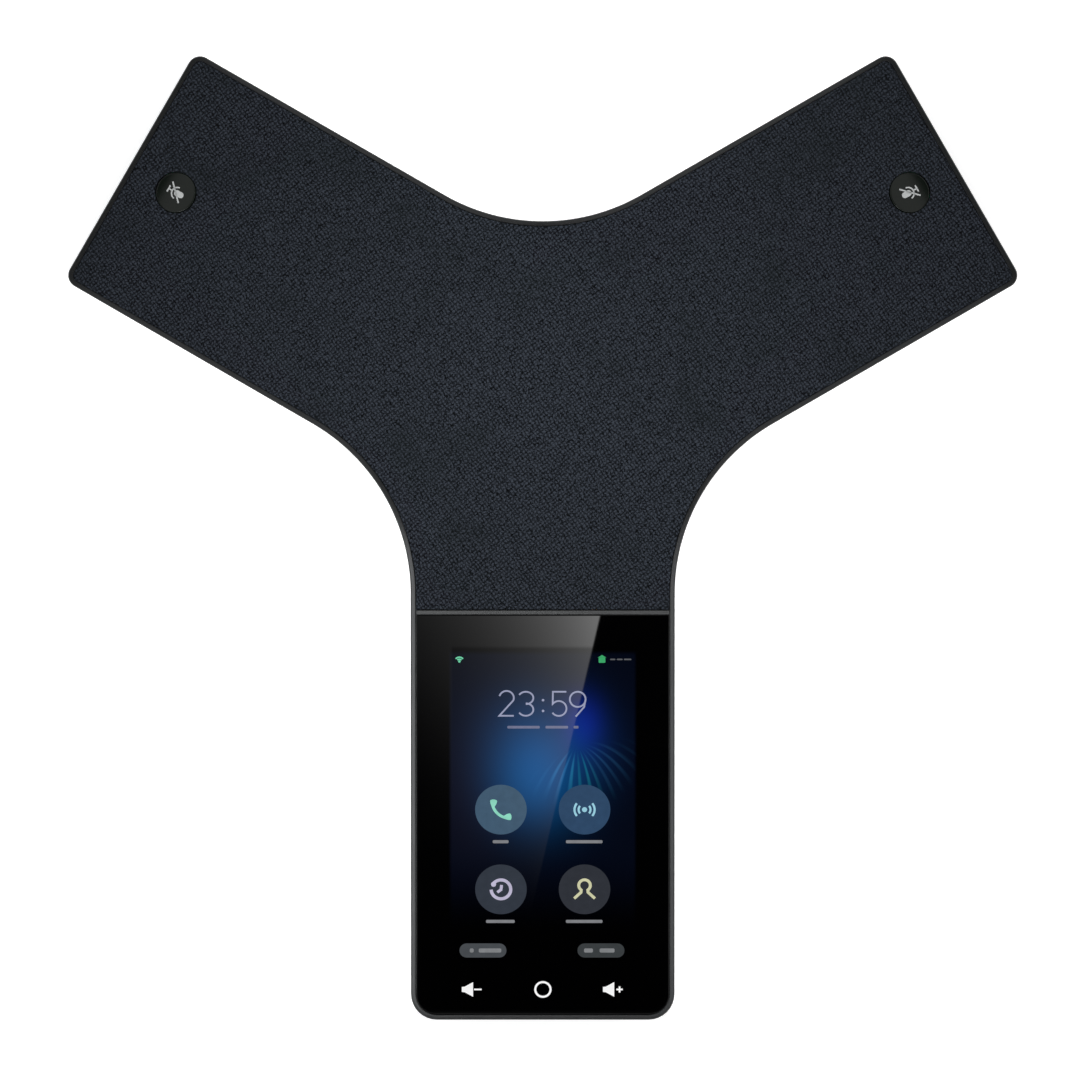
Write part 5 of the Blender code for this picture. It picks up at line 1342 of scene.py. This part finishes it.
def build_flags():
    """One three-lobed flag over the notches, where the rim's top is nearly level,
    and a small one off the end of each rear arm."""
    lobes = []
    for degrees in range(0, 360, 6):
        wave = math.cos(math.radians(3 * (degrees - 90)))
        lobes.append(direction(degrees) * FLAG_RADIUS * (1 + FLAG_LOBES * wave))
    build_flag("overhead_flag", lobes, FLAG_HEIGHT)
    for side, angle in REAR_ARMS:
        across = direction(angle + 90) * END_FLAG_HALF
        near, far = (direction(angle) * reach for reach in END_FLAG_REACH)
        outline = (near - across, far - across, far + across, near + across)
        build_flag(f"end_flag_{side}", outline, END_FLAG_HEIGHT)


def glare_wedge(look):
    """A slanting shape with one sharp side, which fades down and to the left."""
    slant = WEDGE_TOP[0] - (WEDGE_TOP[1] - look.y) * WEDGE_SLANT
    gap = slant - look.x
    reach = look.math("MAXIMUM", look.y, -30.0) * 0.17 + 12.0
    fade = look.math("EXPONENT", look.math("DIVIDE", gap * -1.0, reach))
    rise = look.math("MAXIMUM", (look.y - WEDGE_END) * (1 / (WEDGE_FULL - WEDGE_END)), 0.0)
    wedge = look.step(gap, 0.0, 0.6) * fade * look.math("POWER", rise, 1.9)
    on_screen = look.step(look.y, 53.0, 54.5, (1, 0)) * look.step(abs(look.x), 30.5, 31.5, (1, 0))
    return wedge * (1.0 - on_screen * 0.4)


def build_glare_card():
    """The panel that the glass mirrors: black inside the glass's own mirror image but
    for the wedge, and beside it a lamp for the rim, brighter on the left."""
    away = Vector((0, -math.sin(2 * SLOPE), math.cos(2 * SLOPE))) * CARD_DISTANCE
    matrix = Matrix.Translation(CARD_FACES + away) @ Matrix.Rotation(2 * SLOPE, 4, "X")
    span = ((-CARD_HALF, -CARD_HALF, 0), (CARD_HALF, CARD_HALF, 0.001))
    card = boxes("glare_card", [span], matrix)
    look = Look("glare_light")
    beside = look.step(abs(look.x), 44.0, 47.0)
    off_glass = look.math("MAXIMUM", beside, look.step(abs(look.y), 70.0, 72.5))
    lamp = look.step(look.x, -60.0, 60.0, RIM_LAMP)
    lamp = lamp * look.step(look.y, -71.0, -64.0, (0.04, 1.0))
    lamp = lamp * look.step(look.y, 80.0, 130.0, (1.0, 0.0))
    strength = (1.0 - off_glass) * glare_wedge(look) * WEDGE_LIGHT + off_glass * lamp
    look.set(Base_Color=(0.0, 0.0, 0.0), Roughness=1.0, Specular_IOR_Level=0.0)
    look.set(Emission_Color=(1.0, 1.0, 1.0), Emission_Strength=strength)
    card.data.materials.append(look.material)
    show_to_mirrors_only(card)


def build_camera():
    """A long lens straight above, so that the view is nearly parallel."""
    camera = bpy.data.cameras.new("camera")
    camera.sensor_width = SENSOR
    camera.lens = LENS
    distance = FRAME_WIDTH * LENS / SENSOR
    camera.clip_start = 1.0
    camera.clip_end = 2 * distance
    obj = bpy.data.objects.new("camera", camera)
    bpy.context.scene.collection.objects.link(obj)
    obj.location = VIEW_CENTRE + Vector((0, 0, distance))
    bpy.context.scene.camera = obj
    bpy.context.scene.view_settings.view_transform = "Standard"


# --- Assembly ---
dress_cad_nodes()
build_cloth()
build_rim()
build_divider()
build_glass()
build_clock()
build_status_line()
build_tiles()
build_call_mark()
build_radio_mark()
build_history_mark()
build_person_mark()
build_captions()
build_pills()
build_touch_keys()
build_mute_keys()
build_housing()
build_feet()
build_label()
build_screws()
build_contacts()
build_floor()
build_light()
build_flags()
build_glare_card()
build_camera()
